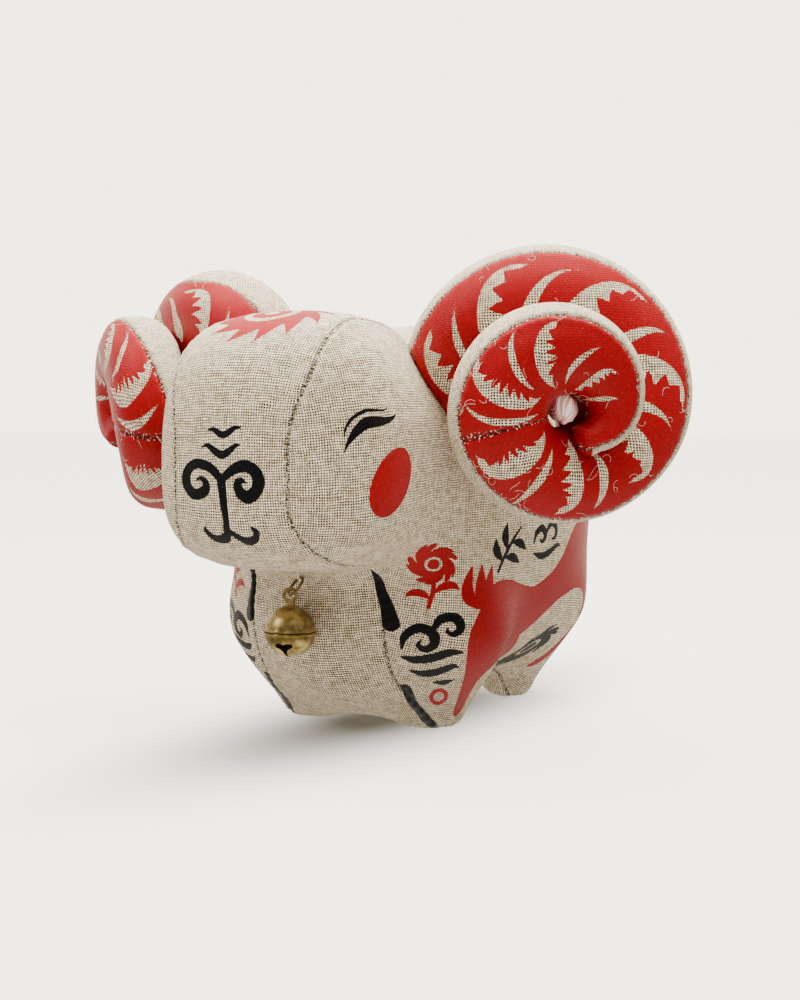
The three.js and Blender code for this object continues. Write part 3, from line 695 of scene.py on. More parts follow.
def linen(tree, pitch=0.59):
    height, shade, hole, moved = weave(tree, pitch)
    tint = mixed(tree, spread(tree, shade, 0.3, 0.72, 0.0, 1.0), linen_dark, linen_light)
    # Painted shade: each thread is darkened where it dips under the other, and the holes between threads are
    # painted near black
    tint = mixed(tree, reckon(tree, "MULTIPLY", height, 0.9), mixed(tree, 0.35, tint, painted_weave_shade), tint)
    tint = mixed(tree, hole, tint, painted_weave_shade)
    raised = reckon(tree, "MULTIPLY_ADD", shade, 0.6, height)
    return tint, raised, moved


def new_material(name):
    made = bpy.data.materials.new(name)
    made.use_nodes = True
    return made, made.node_tree, made.node_tree.nodes["Principled BSDF"]


def cloth_material(name, inks, seam_shadow, leaves=()):
    made, tree, surface = new_material(name)
    tint, raised, moved = linen(tree)
    bare = tint
    fine = noise(tree, moved, 1.6, 4.0, 0.6)
    ragged = reckon(tree, "MULTIPLY_ADD", reckon(tree, "SUBTRACT", raised, 0.9), -0.12,
                    reckon(tree, "MULTIPLY", reckon(tree, "SUBTRACT", fine, 0.5), 0.35))
    covered = None
    dark = 0.0
    for edge, ink, worn_ink in inks:
        line = reckon(tree, "ADD", noted(tree, edge), ragged)
        solid = spread(tree, line, -0.12, 0.08, 1.0, 0.0)
        worn = spread(tree, fine, 0.66, 0.78, 0.0, 0.35)
        solid = reckon(tree, "MULTIPLY", solid, reckon(tree, "SUBTRACT", 1.0, worn))
        inked = mixed(tree, spread(tree, fine, 0.35, 0.75, 0.0, 1.0), ink, worn_ink)
        tint = mixed(tree, solid, tint, inked)
        covered = solid if covered is None else reckon(tree, "MAXIMUM", covered, solid)
        dark = solid if edge == "black_edge" else dark
    for leaf in leaves:
        covered, tint = leaf(tree, covered, tint, bare, ragged)
    seam = noted(tree, "seam")
    run = noted(tree, "seam_run")
    stitch = reckon(tree, "ABSOLUTE", reckon(tree, "SINE", reckon(tree, "MULTIPLY", run, math.pi / 0.8)))
    uneven = spread(tree, noise(tree, moved, 0.9, 2.0), 0.38, 0.58, 0.4, 1.0)
    stitches = reckon(tree, "MULTIPLY_ADD", stitch, 0.65, 0.42)
    not_black = spread(tree, dark, 0.0, 1.0, 1.0, 0.0)
    shadow = product(tree, spread(tree, seam, 0.24, 0.72, 1.0, 0.0), stitches, uneven, not_black)
    tint = mixed(tree, shadow, tint, seam_shadow)
    lint = spread(tree, noise(tree, moved, 1.9, 2.0), 0.6, 0.66, 0.0, 0.75)
    lint = product(tree, lint, spread(tree, seam, 0.4, 1.0, 1.0, 0.0), not_black)
    tint = mixed(tree, lint, tint, linen_light)
    tree.links.new(tint, surface.inputs["Base Color"])
    tree.links.new(spread(tree, covered, 0.0, 1.0, 0.85, 0.27), surface.inputs["Roughness"])
    strength = spread(tree, covered, 0.0, 1.0, 0.75, 0.42)
    bump(tree, surface, strength, 0.00018, raised)
    surface.inputs["Specular IOR Level"].default_value = 0.14
    return made


red_ink = colour(131, 0, 10)
red_worn = colour(146, 3, 15)
black_ink = colour(5, 6, 8)
black_worn = colour(13, 14, 17)
body.data.materials.append(cloth_material("printed linen of the body", [
    ("red_edge", red_ink, red_worn), ("black_edge", black_ink, black_worn),
], colour(44, 34, 24)))
body.data.polygons.foreach_set("use_smooth", np.ones(len(body.data.polygons), dtype=bool))
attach(body, "root")
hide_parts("body")

# Horns: each is one long tapering bag of a printed red front and a plain linen back, stuffed and coiled
# one and three quarter turns, with its second coil lying on the first and its root sewn to the head.
coil_centre = np.array([60.5, -23.5, 78.0])
coil_axis = np.array([math.cos(math.radians(50)), -math.sin(math.radians(50)), 0.0])
coil_right = np.array([-coil_axis[1], coil_axis[0], 0.0])
horn_squareness = 2.3
horn_end = 588.0
horn_tip = 24.0
# turn in degrees, reach from the axis, width, thickness and place along the axis in mm
horn_sizes = np.array([
    (-40, 30, 22, 24, -44), (0, 31, 27.5, 26, -33), (45, 37.2, 34, 28, -26),
    (90, 40.4, 38.4, 30, -22), (135, 39.4, 37.7, 28, -19), (180, 35.3, 33.9, 26, -15),
    (225, 29, 27.5, 22, -10), (270, 26, 23.4, 19.5, -5), (360, 27.2, 23.8, 20, 0.5),
    (450, 25.2, 22, 20, 1), (540, 18, 13.2, 17, 1), (horn_end, 12.4, 9.2, 13.6, 1.4),
])


def horn_course(turn):
    knots = horn_sizes[:, 0]
    values = horn_sizes[:, 1:]
    slope = np.zeros_like(values)
    slope[1:-1] = (values[2:] - values[:-2]) / (knots[2:] - knots[:-2])[:, None]
    slope[0] = (3 * (values[1] - values[0]) / (knots[1] - knots[0]) - slope[1]) / 2
    slope[-1] = (3 * (values[-1] - values[-2]) / (knots[-1] - knots[-2]) - slope[-2]) / 2
    within = np.clip(turn, knots[0], knots[-1])
    piece = np.clip(np.searchsorted(knots, within, side="right") - 1, 0, len(knots) - 2)
    length = (knots[piece + 1] - knots[piece])[..., None]
    t = ((within - knots[piece])[..., None]) / length
    course = (
        values[piece] * (2 * t ** 3 - 3 * t ** 2 + 1) + slope[piece] * length * (t ** 3 - 2 * t ** 2 + t)
        + values[piece + 1] * (3 * t ** 2 - 2 * t ** 3) + slope[piece + 1] * length * (t ** 3 - t ** 2)
    )
    past = np.clip((turn - knots[-1]) / horn_tip, 0, 0.999)
    shrink = np.sqrt(1 - past ** 2)
    reach, width, thickness, along = np.moveaxis(course, -1, 0)
    middle = reach - width / 2
    return middle, width * shrink, thickness * shrink, along


def coil_direction(turn):
    angle = np.radians(turn)[..., None]
    return -np.cos(angle) * coil_right + np.sin(angle) * np.array([0, 0, 1.0])


def horn_points(turn, around):
    middle, width, thickness, along = horn_course(turn)

    def squared(value):
        return np.sign(value) * np.abs(value) ** (2 / horn_squareness)

    across = middle + width / 2 * squared(np.cos(around))
    out = along + thickness / 2 * squared(np.sin(around))
    return coil_centre + across[..., None] * coil_direction(turn) + out[..., None] * coil_axis


def coil_place(points):
    apart = points - coil_centre
    out = apart @ coil_axis
    right = -(apart @ coil_right)
    up = apart[:, 2]
    return np.degrees(np.arctan2(up, right)), np.hypot(up, right), out


def section_level(turn, away, out):
    middle, width, thickness, along = horn_course(turn)
    level = (
        np.abs((away - middle) / (width / 2)) ** horn_squareness
        + np.abs((out - along) / (thickness / 2)) ** horn_squareness
    ) ** (1 / horn_squareness)
    outside = (turn < horn_sizes[0, 0]) | (turn > horn_end + horn_tip)
    return np.where(outside, 9.0, level)


horn_tip_turns = np.array([0, 4, 8, 12, 16, 19, 21.5, 23.2])
horn_turns = np.append(np.arange(-40.0, horn_end, 3.2), horn_end + horn_tip_turns)
horn_sides = 44
# Each horn's rim seam wanders round its section: rows of turn and angle from the outermost line, in degrees
rim_seams = {
    "left": [
        (-40, 8), (0, 8), (20, 12), (45, 22), (90, 33), (135, 37), (180, 40), (225, 34), (270, 30),
        (300, 35), (330, 33), (360, 29), (405, 42), (450, 52), (495, 58), (540, 64), (600, 68), (624, 70),
    ],
    "right": [
        (-40, -2), (0, -2), (44, 4), (62, 15), (78, 36), (110, 42), (150, 40), (195, 30), (235, 5),
        (270, -15), (300, -28), (345, -25), (364, -12), (388, 2), (418, 20), (450, 34), (495, 46),
        (540, 56), (600, 64), (624, 66),
    ],
}


def rim_angle(turn, side):
    rows = np.array(rim_seams[side])
    return np.interp(turn, rows[:, 0], rows[:, 1])


# How far round from the rim seam the printed panel reaches: further in the coil's eye
def front_share(turn):
    return 203 + 60 * eased(225, 300, turn)


def horn_tube(side):
    angles = rim_angle(horn_turns, side)[:, None] + 360 * np.arange(horn_sides)[None, :] / horn_sides
    turns = np.repeat(horn_turns[:, None], horn_sides, axis=1)
    ring_points = horn_points(turns, np.radians(angles))
    rows = len(horn_turns)
    root = ring_points[0].mean(axis=0)
    tip = ring_points[-1].mean(axis=0)
    points = np.vstack([ring_points.reshape(-1, 3), root, tip]) / 1000
    faces = []
    for row in range(rows - 1):
        for number in range(horn_sides):
            beside = (number + 1) % horn_sides
            a = row * horn_sides + number
            b = row * horn_sides + beside
            faces.append((a, a + horn_sides, b + horn_sides, b))
    last = (rows - 1) * horn_sides
    for number in range(horn_sides):
        beside = (number + 1) % horn_sides
        faces.append((len(points) - 2, number, beside))
        faces.append((len(points) - 1, last + beside, last + number))
    mesh = bpy.data.meshes.new("printed_horn_" + side)
    mesh.from_pydata([tuple(point) for point in points], [], faces)
    horn = added("printed_horn_" + side, mesh)
    face_outwards()
    return horn


# Every corner keeps its turn and its angle from the rim seam, so that the pattern follows the coil
def note_course(mesh):
    ring_count = len(horn_turns) * horn_sides
    vertex_turn = np.append(np.repeat(horn_turns, horn_sides), [-40.0, horn_end + horn_tip])
    vertex_around = np.append(np.tile(np.arange(horn_sides) * 360 / horn_sides, len(horn_turns)), [0.0, 0.0])
    corners, starts, face_of_corner = corners_of(mesh)
    corner_turn = vertex_turn[corners]
    corner_around = vertex_around[corners]
    most_around = np.maximum.reduceat(corner_around, starts)[face_of_corner]
    corner_around = np.where((corner_around == 0) & (most_around > 180), 360.0, corner_around)
    is_pole = corners >= ring_count
    pole_around = np.add.reduceat(np.where(is_pole, 0, corner_around), starts)[face_of_corner] / 2
    corner_around = np.where(is_pole, pole_around, corner_around)
    course_layer = mesh.uv_layers.new(name="course")
    course_layer.data.foreach_set("uv", np.column_stack([corner_turn, corner_around]).ravel())


def corner_course(mesh):
    flat = np.empty(len(mesh.loops) * 2)
    mesh.uv_layers["course"].data.foreach_get("uv", flat)
    return flat.reshape(-1, 2)


def vertex_course(mesh):
    corners, _, _ = corners_of(mesh)
    result = np.zeros((len(mesh.vertices), 2))
    result[corners] = corner_course(mesh)
    return result[:, 0], result[:, 1]


def section_radius(turn):
    _, width, thickness, _ = horn_course(turn)
    return (width + thickness) / 4


def seam_gaps(turn, around_deg):
    radius = section_radius(turn)
    around = around_deg % 360
    front = np.minimum(around, 360 - around)
    back = np.abs(around - front_share(turn))
    return np.radians(front) * radius, np.radians(back) * radius


# Where two coils press on each other both flatten to one surface, and the root lies flat on the head.
# Between the coils 3 % of room is kept, and 0.2 mm before the head, which only points nearer the middle
# plane than head_reach can touch.
coil_clearance = 1.03
head_clearance = 0.0002
head_reach = 0.045
halvings = 18


def press(mesh, head_tree):
    turn, _ = vertex_course(mesh)
    points = 1000 * points_of(mesh)
    _, away, out = coil_place(points)
    own_middle, _, _, own_along = horn_course(turn)
    for other in (-360.0, 360.0):
        low = np.zeros(len(points))
        high = np.ones(len(points))
        own = section_level(turn, away, out)
        rival = section_level(turn + other, away, out)
        pressed = rival < own * coil_clearance
        for _ in range(halvings):
            half = (low + high) / 2
            try_away = own_middle + half * (away - own_middle)
            try_out = own_along + half * (out - own_along)
            fits = section_level(turn + other, try_away, try_out) > own * half * coil_clearance
            low = np.where(fits, half, low)
            high = np.where(fits, high, half)
        away = np.where(pressed, own_middle + low * (away - own_middle), away)
        out = np.where(pressed, own_along + low * (out - own_along), out)
    points = (coil_centre + away[:, None] * coil_direction(turn) + out[:, None] * coil_axis) / 1000
    for index in np.nonzero(points[:, 0] < head_reach)[0]:
        found, normal, _, _ = head_tree.find_nearest(Vector(points[index]))
        if found is not None and (Vector(points[index]) - found).dot(normal) < head_clearance:
            points[index] = found + head_clearance * normal
    move_points(mesh, points)


head_tree = BVHTree.FromPolygons(
    [tuple(point) for point in points_of(body.data)],
    [tuple(face.vertices) for face in body.data.polygons],
)

# Crescents left unprinted in the red: rows of turn and distance from the axis along each smooth edge, from
# the rim inwards, the width in mm at the middle, and the length and number of the teeth on the hollow side.
crescents = [
    ([(36, 33), (25, 31), (14, 26), (9, 21)], 2.3, 3.2, 4),
    ([(50, 33.5), (42.5, 30.5), (34, 26), (30, 20)], 1.7, 0, 0),
    ([(81, 34.5), (71, 35), (62, 33), (53, 29), (48, 24), (46, 19)], 2.4, 3.7, 5),
    ([(101.5, 33.5), (90, 32), (79, 28.5), (71, 23), (67, 17)], 2.6, 0, 0),
    ([(131, 34), (122, 34.5), (112, 32.5), (102.5, 28.5), (95, 23), (91, 17)], 3.2, 3.3, 6),
    ([(148.5, 33), (138, 29.5), (131, 24), (127, 19)], 2.5, 0, 0),
    ([(178, 30), (170, 31), (161, 30), (151, 26.5), (142, 21), (137, 16)], 3.3, 4.1, 5),
    ([(190.5, 27.5), (179, 24), (170, 18.5), (164, 13)], 2.5, 0, 0),
    ([(225, 22.5), (215, 25), (204, 24.5), (194, 19.5), (186, 14)], 4.2, 3.4, 5),
    ([(252.5, 23), (241, 20.5), (233, 17), (230, 13), (236, 11)], 2.3, 0, 0),
    ([(276, 23), (262.5, 21), (256, 16.5), (255, 10.5), (262.5, 6)], 2.8, 2.8, 6),
    ([(302.5, 24.5), (294.5, 19.5), (290, 14), (296, 9)], 1.9, 0, 0),
    ([(335.5, 23.5), (326, 23.5), (314.5, 21), (308, 15.5), (306.5, 10.5), (324, 7.5)], 3.7, 2.7, 7),
    ([(365, 24.5), (356.5, 22), (351, 17.5), (349.5, 11.5), (358, 8)], 1.5, 0, 0),
    ([(388.5, 24.5), (377.5, 23.5), (369, 20.5), (364.5, 15.5), (367.5, 9.5), (383, 8.5)], 2.3, 2.8, 8),
    ([(414.5, 22.5), (402, 20.5), (392, 16.5), (387, 13), (388.5, 10.5)], 1.6, 0, 0),
    ([(439.5, 20.5), (425.5, 19.5), (415.5, 16.5), (406, 12), (406, 8.5), (413, 7)], 2.4, 2.7, 6),
    ([(471.5, 15.5), (457, 13), (444.5, 10.5), (434, 6.5)], 1.4, 0, 0),
    ([(498.5, 13), (486, 12), (472, 7.5), (459, 5)], 1.0, 1.5, 6),
    ([(523, 10.5), (512, 7.5), (504, 5)], 1.0, 0, 0),
]


# A crescent's smooth edge as evenly spaced points on a plane curve of third degree
def even_curve(rows, count):
    rows = np.array(rows, dtype=float)
    flat = rows[:, 1:] * np.column_stack([np.cos(np.radians(rows[:, 0])), np.sin(np.radians(rows[:, 0]))])
    steps = np.append(0, np.cumsum(np.linalg.norm(np.diff(flat, axis=0), axis=1)))
    at = np.linspace(0, steps[-1], count)
    degree = min(3, len(rows) - 1)
    return np.column_stack([np.polyval(np.polyfit(steps, flat[:, axis], degree), at) for axis in (0, 1)])


# Run along the curve, reach to the side on which the turns grow, and the curve's whole length
def beside_curve(u, v, curve):
    best = np.full(u.shape, 1e9)
    run = np.zeros(u.shape)
    out = np.zeros(u.shape)
    gone = 0.0
    middle = len(curve) // 2
    step = curve[middle + 1] - curve[middle]
    growing = np.sign(step[0] * curve[middle, 0] + step[1] * curve[middle, 1])
    for a, b in zip(curve[:-1], curve[1:]):
        step = b - a
        long = np.hypot(*step)
        side = growing * np.array([-step[1], step[0]]) / long
        share = np.clip(((u - a[0]) * step[0] + (v - a[1]) * step[1]) / long ** 2, 0, 1)
        du, dv = u - a[0] - share * step[0], v - a[1] - share * step[1]
        gap = np.hypot(du, dv)
        nearer = gap < best
        best = np.where(nearer, gap, best)
        run = np.where(nearer, gone + share * long, run)
        out = np.where(nearer, np.where(du * side[0] + dv * side[1] < 0, -gap, gap), out)
        gone += long
    return run, out, gone


# Rim ink and plain crescents are one outline. A toothed crescent keeps its place along and across its
# smooth edge instead, and its teeth are cut by the material.
def horn_ink(mesh, side):
    turn, around = vertex_course(mesh)
    middle, width, _, _ = horn_course(turn)
    radius = section_radius(turn)
    position = around % 360
    _, away, _ = coil_place(1000 * points_of(mesh))
    if side == "right":
        slant = np.cos(np.radians(position + rim_angle(turn, "left")))
        away = middle + width / 2 * np.sign(slant) * np.abs(slant) ** (2 / horn_squareness)
    share = front_share(turn)
    inside = np.minimum(position, share - position)
    outside = np.minimum(360 - position, position - share)
    red = np.radians(np.where(position < share, -inside, outside)) * radius
    plain = np.full(len(turn), far)
    hull = np.full(len(turn), far)
    leaf_in = np.full(len(turn), -far)
    leaf_tip = np.full(len(turn), far)
    leaf_run = np.zeros(len(turn))
    for rows, wide, tooth, teeth in crescents:
        centre = float(np.mean([row[0] for row in rows]))
        curve = even_curve(rows, 30)
        reach = np.hypot(*(curve[-1] - curve[0])) + 3
        u = away * np.cos(np.radians(turn))
        v = away * np.sin(np.radians(turn))
        mine = (np.abs(turn - centre) < 70) & (position < np.minimum(share, 190))
        mine &= np.hypot(u - curve[15, 0], v - curve[15, 1]) < reach
        run, out, long = beside_curve(u[mine], v[mine], curve)
        part = np.clip(run / long, 0, 1)
        hidden = 1.6 if centre < 230 else 1.1
        swell = np.sin(np.pi * np.clip(part, 0.001, 0.999) ** hidden)
        base = wide * swell ** 0.85
        if teeth == 0:
            plain[mine] = np.minimum(plain[mine], np.maximum(-out, out - base))
            continue
        tooth = tooth * (0.15 + 0.85 * swell ** 0.8)
        gap = np.maximum(-out, out - base - tooth)
        nearer = gap < hull[mine]
        for field, value in (
            (hull, gap), (leaf_in, out), (leaf_tip, (out - base) / tooth), (leaf_run, part * teeth),
        ):
            field[mine] = np.where(nearer, value, field[mine])
    red = np.minimum(np.maximum(red, -plain), 0.15 * (600 - turn))
    return {
        "red_edge": np.clip(red, -far, far), "leaf_hull": np.clip(hull, -far, far), "leaf_in": leaf_in,
        "leaf_tip": np.clip(leaf_tip, -9, 9), "leaf_run": leaf_run,
    }


def toothed_leaf(tree, covered, tint, bare, ragged):
    near, inner, tip, run = [noted(tree, "leaf_" + name) for name in ("hull", "in", "tip", "run")]
    part = reckon(tree, "FRACT", run)
    rise = reckon(tree, "DIVIDE", part, 0.3)
    fall = reckon(tree, "DIVIDE", reckon(tree, "SUBTRACT", 1.0, part), 0.7)
    tooth = reckon(tree, "POWER", reckon(tree, "MINIMUM", rise, fall), 1.15)
    past = reckon(tree, "SUBTRACT", reckon(tree, "MULTIPLY_ADD", ragged, 0.4, tip), tooth)
    inner = reckon(tree, "ADD", inner, reckon(tree, "MULTIPLY", ragged, -1.0))
    leaf = product(tree, spread(tree, near, 0.25, 0.45, 1.0, 0.0), spread(tree, inner, -0.1, 0.1, 0.0, 1.0),
                   spread(tree, past, -0.05, 0.05, 1.0, 0.0))
    covered = product(tree, covered, reckon(tree, "SUBTRACT", 1.0, leaf))
    return covered, mixed(tree, leaf, tint, bare)


horn_material = cloth_material("printed linen of the horns", [
    ("red_edge", red_ink, red_worn),
], colour(30, 6, 6), [toothed_leaf])


# The weave lies flat on each panel: the front's and the back's are cut at the two seams
def lay_horn_threads(mesh):
    values = corner_course(mesh)
    _, starts, face_of_corner = corners_of(mesh)
    middle, _, _, _ = horn_course(values[:, 0])
    radius = section_radius(values[:, 0])
    face_middle = (np.add.reduceat(values[:, 1], starts) / np.bincount(face_of_corner))[face_of_corner]
    in_front = face_middle < front_share(values[:, 0])
    section_angle = values[:, 1] + rim_angle(values[:, 0], "left")
    arc = np.where(in_front, np.radians(90 - section_angle), np.radians(section_angle - 270)) * radius
    laid = np.maximum(middle + arc, 1.0)
    angle = np.radians(values[:, 0])
    panel = np.column_stack([laid * np.cos(angle), laid * np.sin(angle)])
    panel[~in_front] += 300
    weave_layer = mesh.uv_layers.new(name="weave")
    weave_layer.data.foreach_set("uv", panel.ravel())
    mesh.uv_layers.active = weave_layer


# A short seam crosses the coil from the eye to the rim, where the second coil starts
cross_seam_turn = 346
cross_seam_reach = 18


def sew_horn(mesh):
    turn, around = vertex_course(mesh)
    front_gap, back_gap = seam_gaps(turn, around)
    across = np.abs(np.radians(turn - cross_seam_turn) * cross_seam_reach)
    cross_gap = across + np.where(np.abs(around - 70) < 70, 0, 9)
    gap = np.minimum(np.minimum(front_gap, back_gap), cross_gap)
    points = points_of(mesh)
    ripple = np.sin(np.radians(turn) * 47 + 3 * np.sin(np.radians(turn) * 5))
    pucker = 0.08 * ripple * np.exp(-(gap / 1.6) ** 2)
    sunk = 0.4 * np.exp(-(gap / 0.7) ** 2) + pucker
    move_points(mesh, points - 0.001 * sunk[:, None] * normals_of(mesh))
    note(mesh, "seam", np.minimum(gap, far))
    note(mesh, "seam_run", np.where(cross_gap < 1, points[:, 2] * 1000, np.radians(turn) * 30))


def sewn_horn(side):
    horn = horn_tube(side)
    mesh = horn.data
    note_course(mesh)
    turn, around = vertex_course(mesh)
    front_gap, back_gap = seam_gaps(turn, around)
    held = 1 - eased(0.6, 3.0, np.minimum(front_gap, back_gap))
    held = np.maximum.reduce([held, eased(5, -10, turn), eased(594, 606, turn)])
    move_points(mesh, points_of(mesh) - stuffing_room * (1 - held)[:, None] * normals_of(mesh))
    stuff(horn, held, 0.001)
    finer(horn)
    press(mesh, head_tree)
    ink = horn_ink(mesh, side)
    split_faces(horn, (np.abs(ink["red_edge"]) < 0.8) | (np.abs(ink["leaf_in"]) < 0.8))
    lay_horn_threads(mesh)
    sew_horn(mesh)
    for name, values in horn_ink(mesh, side).items():
        note(mesh, name, values)
    mesh.materials.append(horn_material)
    mesh.polygons.foreach_set("use_smooth", np.ones(len(mesh.polygons), dtype=bool))
    return horn


near_horn = sewn_horn("left")
far_horn = sewn_horn("right")
select_only(far_horn)
far_horn.scale.x = -1
bpy.ops.object.transform_apply(location=False, rotation=False, scale=True)
face_outwards()
points = points_of(far_horn.data)
points[:, 2] -= 0.0024 * eased(0.102, 0.117, points[:, 2])
move_points(far_horn.data, points)
for piece, side in ((near_horn, "left"), (far_horn, "right")):
    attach(piece, "root")
    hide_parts("horn_" + side)

# Knots: in the eye of each coil a tuft of white cotton sticks out, where the bag's tip is gathered, twisted
# and tied. The red of the print has stained it in streaks.
knot_middle = coil_centre + np.array([-0.5, 0.5, 1.0])
knot_radius = 2.75
knot_half = 4.6
knot_rise = 1.3


def gathered_knot(side):
    bpy.ops.object.select_all(action="DESELECT")
    bpy.ops.mesh.primitive_uv_sphere_add(segments=144, ring_count=96, radius=1)
    knot = bpy.context.object
    knot.name = "gathered_knot_" + side
    knot.data.name = knot.name
    across, up, along = points_of(knot.data).T
    around = np.arctan2(up, across)
    slim = np.hypot(across, up) ** 0.6
    reach = np.sign(along) * np.abs(along) ** 0.6
    near_end = eased(0.2, 1.0, np.abs(reach))
    twist = around + 0.5 * reach
    slant = 0.85 * across - 0.4 * up
    ridge = np.sin(6.5 * slant + 1.3 * np.sin(2.2 * up + 0.5))
    fold = 0.09 * np.cos(2 * twist + 0.7) + 0.06 * np.cos(3 * twist - 1.4 + 0.8 * reach)
    fold += 0.05 * (1 - near_end) * np.cos(7 * twist + 2.4 * np.sin(twist))
    slim *= knot_radius * (1 + fold)
    reach = knot_half * (np.sign(reach) * np.abs(reach) ** 0.7 + near_end * (0.06 * ridge - 0.12 * slant))
    points = knot_middle + (slim * np.cos(around))[:, None] * coil_right + reach[:, None] * coil_axis
    points[:, 2] += knot_rise * slim * np.sin(around)
    if side == "right":
        points[:, 0] *= -1
    move_points(knot.data, points / 1000)
    face_outwards()
    bpy.ops.object.shade_smooth()
    note(knot.data, "crease", 0.15 * ridge)
    note(knot.data, "turned", 3 * slant)
    return knot


knot_material, knot_tree, knot_surface = new_material("gathered white cotton")
knot_place = node(knot_tree, "ShaderNodeTexCoord").outputs["Object"]
crease = noted(knot_tree, "crease")
turned = noted(knot_tree, "turned")
stretched = reckon(knot_tree, "MULTIPLY", turned, 1.3)
streak_place = node(knot_tree, "ShaderNodeCombineXYZ", [(0, stretched), (1, crease)])
streaks = noise(knot_tree, streak_place.outputs[0], 2.2, 3.0, 0.6)
stained = spread(knot_tree, streaks, 0.44, 0.56, 0.0, 1.0)
cotton = mixed(knot_tree, stained, colour(252, 244, 238), colour(232, 128, 124))
# Painted shade: the hollows between the knot's ridges are darkened to a dull red-brown
cotton = mixed(knot_tree, spread(knot_tree, crease, -0.05, -0.2, 0.0, 0.75), cotton, colour(120, 60, 52))
knot_tree.links.new(cotton, knot_surface.inputs["Base Color"])
knot_surface.inputs["Roughness"].default_value = 0.85
cotton_grain = noise(knot_tree, knot_place, 5200.0, 2.0)
bump(knot_tree, knot_surface, 0.6, 0.00015, cotton_grain)
for side in ("left", "right"):
    knot = gathered_knot(side)
    knot.data.materials.append(knot_material)
    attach(knot, "root")
    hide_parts("horn_knot_" + side)

# Bell: two thin brass cups pressed from sheet and crimped together round the middle. The upper one carries a
# wire eye on its neck, the lower one a heart-shaped mouth front and back with a slot between them.
bell_middle = np.array([0.0, -43.905, 26.75])
bell_radius = 6.0
bell_wall = 0.45
bell_steps = 40
same_place = 0.000002
neck_profile = [
    (0.0, 7.35), (0.82, 7.35), (0.92, 7.2), (0.98, 6.75), (1.12, 6.35), (1.45, 6.0), (1.95, 5.72),
]


def arc_rows(radius, first, last):
    rows = []
    for step in range(bell_steps + 1):
        angle = first + (last - first) * step / bell_steps
        rows.append((radius * math.cos(angle), radius * math.sin(angle)))
    return rows


def cup_profile(top_rows, top_radius):
    band = [(6.02, 0.66), (6.17, 0.6), (6.26, 0.46), (6.27, 0.3), (6.2, 0.17), (6.05, 0.15), (5.57, 0.15)]
    outer = arc_rows(bell_radius, math.acos(top_radius / bell_radius), 0.125)
    inner = arc_rows(bell_radius - bell_wall, 0.04, math.pi / 2)
    inner[-1] = (0.0, bell_radius - bell_wall)
    return top_rows + outer + band + inner


def turned_cup(name, profile, upside):
    mesh = bpy.data.meshes.new(name)
    line = [(0.001 * reach, 0.0, 0.001 * upside * rise) for reach, rise in profile]
    mesh.from_pydata(line, [(step, step + 1) for step in range(len(line) - 1)], [])
    cup = added(name, mesh)
    turning = cup.modifiers.new("turned", "SCREW")
    turning.steps = turning.render_steps = 112
    turning.use_merge_vertices = True
    turning.merge_threshold = same_place
    bpy.ops.object.modifier_apply(modifier=turning.name)
    edit_all(bpy.ops.mesh.remove_doubles, threshold=same_place)
    face_outwards()
    x, y, z = 1000 * points_of(mesh).T
    around = np.arctan2(y, x)
    reach = np.hypot(x, y)
    rim = eased(1.5, 0.5, np.abs(z)) * eased(5.6, 6.0, reach)
    wave = 0.05 * np.sin(7 * around) + 0.035 * np.sin(12 * around + 1.0) + 0.02 * np.sin(23 * around)
    dent = 0.05 * np.sin(3 * around + z) * np.sin(0.9 * z + 0.5) * eased(2.5, 4, reach)
    scale = 1 + (0.7 * wave * rim + dent) / np.maximum(reach, 1)
    move_points(mesh, np.column_stack([x * scale, y * scale, z + wave * rim]) / 1000)
    return cup


def combine(piece, other, operation):
    bpy.context.view_layer.objects.active = piece
    step = piece.modifiers.new("combined", "BOOLEAN")
    step.operation = operation
    step.solver = "EXACT"
    step.object = other
    bpy.ops.object.modifier_apply(modifier=step.name)
    bpy.data.objects.remove(other)


def set_bell_piece(piece, name, node_name):
    piece.name = name
    move_points(piece.data, points_of(piece.data) + bell_middle / 1000)
    select_only(piece)
    bpy.ops.object.shade_smooth_by_angle(angle=math.radians(32))
    piece.data.materials.clear()
    piece.data.materials.append(brass_material)
    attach(piece, "root")
    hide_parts(node_name)


brass_material, brass_tree, brass_surface = new_material("worn brass")
brass_place = node(brass_tree, "ShaderNodeTexCoord").outputs["Object"]
patches = noise(brass_tree, brass_place, 260.0, 4.0, 0.6)
flecks = noise(brass_tree, brass_place, 1500.0, 3.0, 0.6)
brushed = node(brass_tree, "ShaderNodeMapping", [(0, brass_place), (3, (900.0, 900.0, 7000.0))]).outputs[0]
scratches = noise(brass_tree, brushed, 1.0, 2.0)
polished = spread(brass_tree, patches, 0.36, 0.62, 0.0, 1.0)
brass = mixed(brass_tree, polished, colour(116, 96, 50), colour(180, 158, 104))
brass = mixed(brass_tree, spread(brass_tree, flecks, 0.62, 0.74, 0.0, 0.75), brass, colour(62, 48, 22))
brass_tree.links.new(brass, brass_surface.inputs["Base Color"])
brass_surface.inputs["Metallic"].default_value = 1.0
worn = spread(brass_tree, patches, 0.3, 0.7, 0.42, 0.3)
brass_tree.links.new(reckon(brass_tree, "ADD", worn, spread(brass_tree, flecks, 0.6, 0.74, 0.0, 0.2)),
                     brass_surface.inputs["Roughness"])
brass_height = reckon(brass_tree, "MULTIPLY_ADD", scratches, 0.35, flecks)
bump(brass_tree, brass_surface, 0.35, 0.00006, brass_height)

dome = turned_cup("bell_dome", cup_profile(neck_profile, 2.35), 1)
bpy.ops.object.select_all(action="DESELECT")
bpy.ops.mesh.primitive_torus_add(
    major_radius=0.00156, minor_radius=0.00042, major_segments=72, minor_segments=24,
    location=(0, 0, 0.00845), rotation=(math.pi / 2, 0, math.radians(60)),
)
eye = bpy.context.object
bpy.ops.object.transform_apply(location=True, rotation=True, scale=True)
combine(dome, eye, "UNION")
set_bell_piece(dome, "bell_dome", "bell_upper")

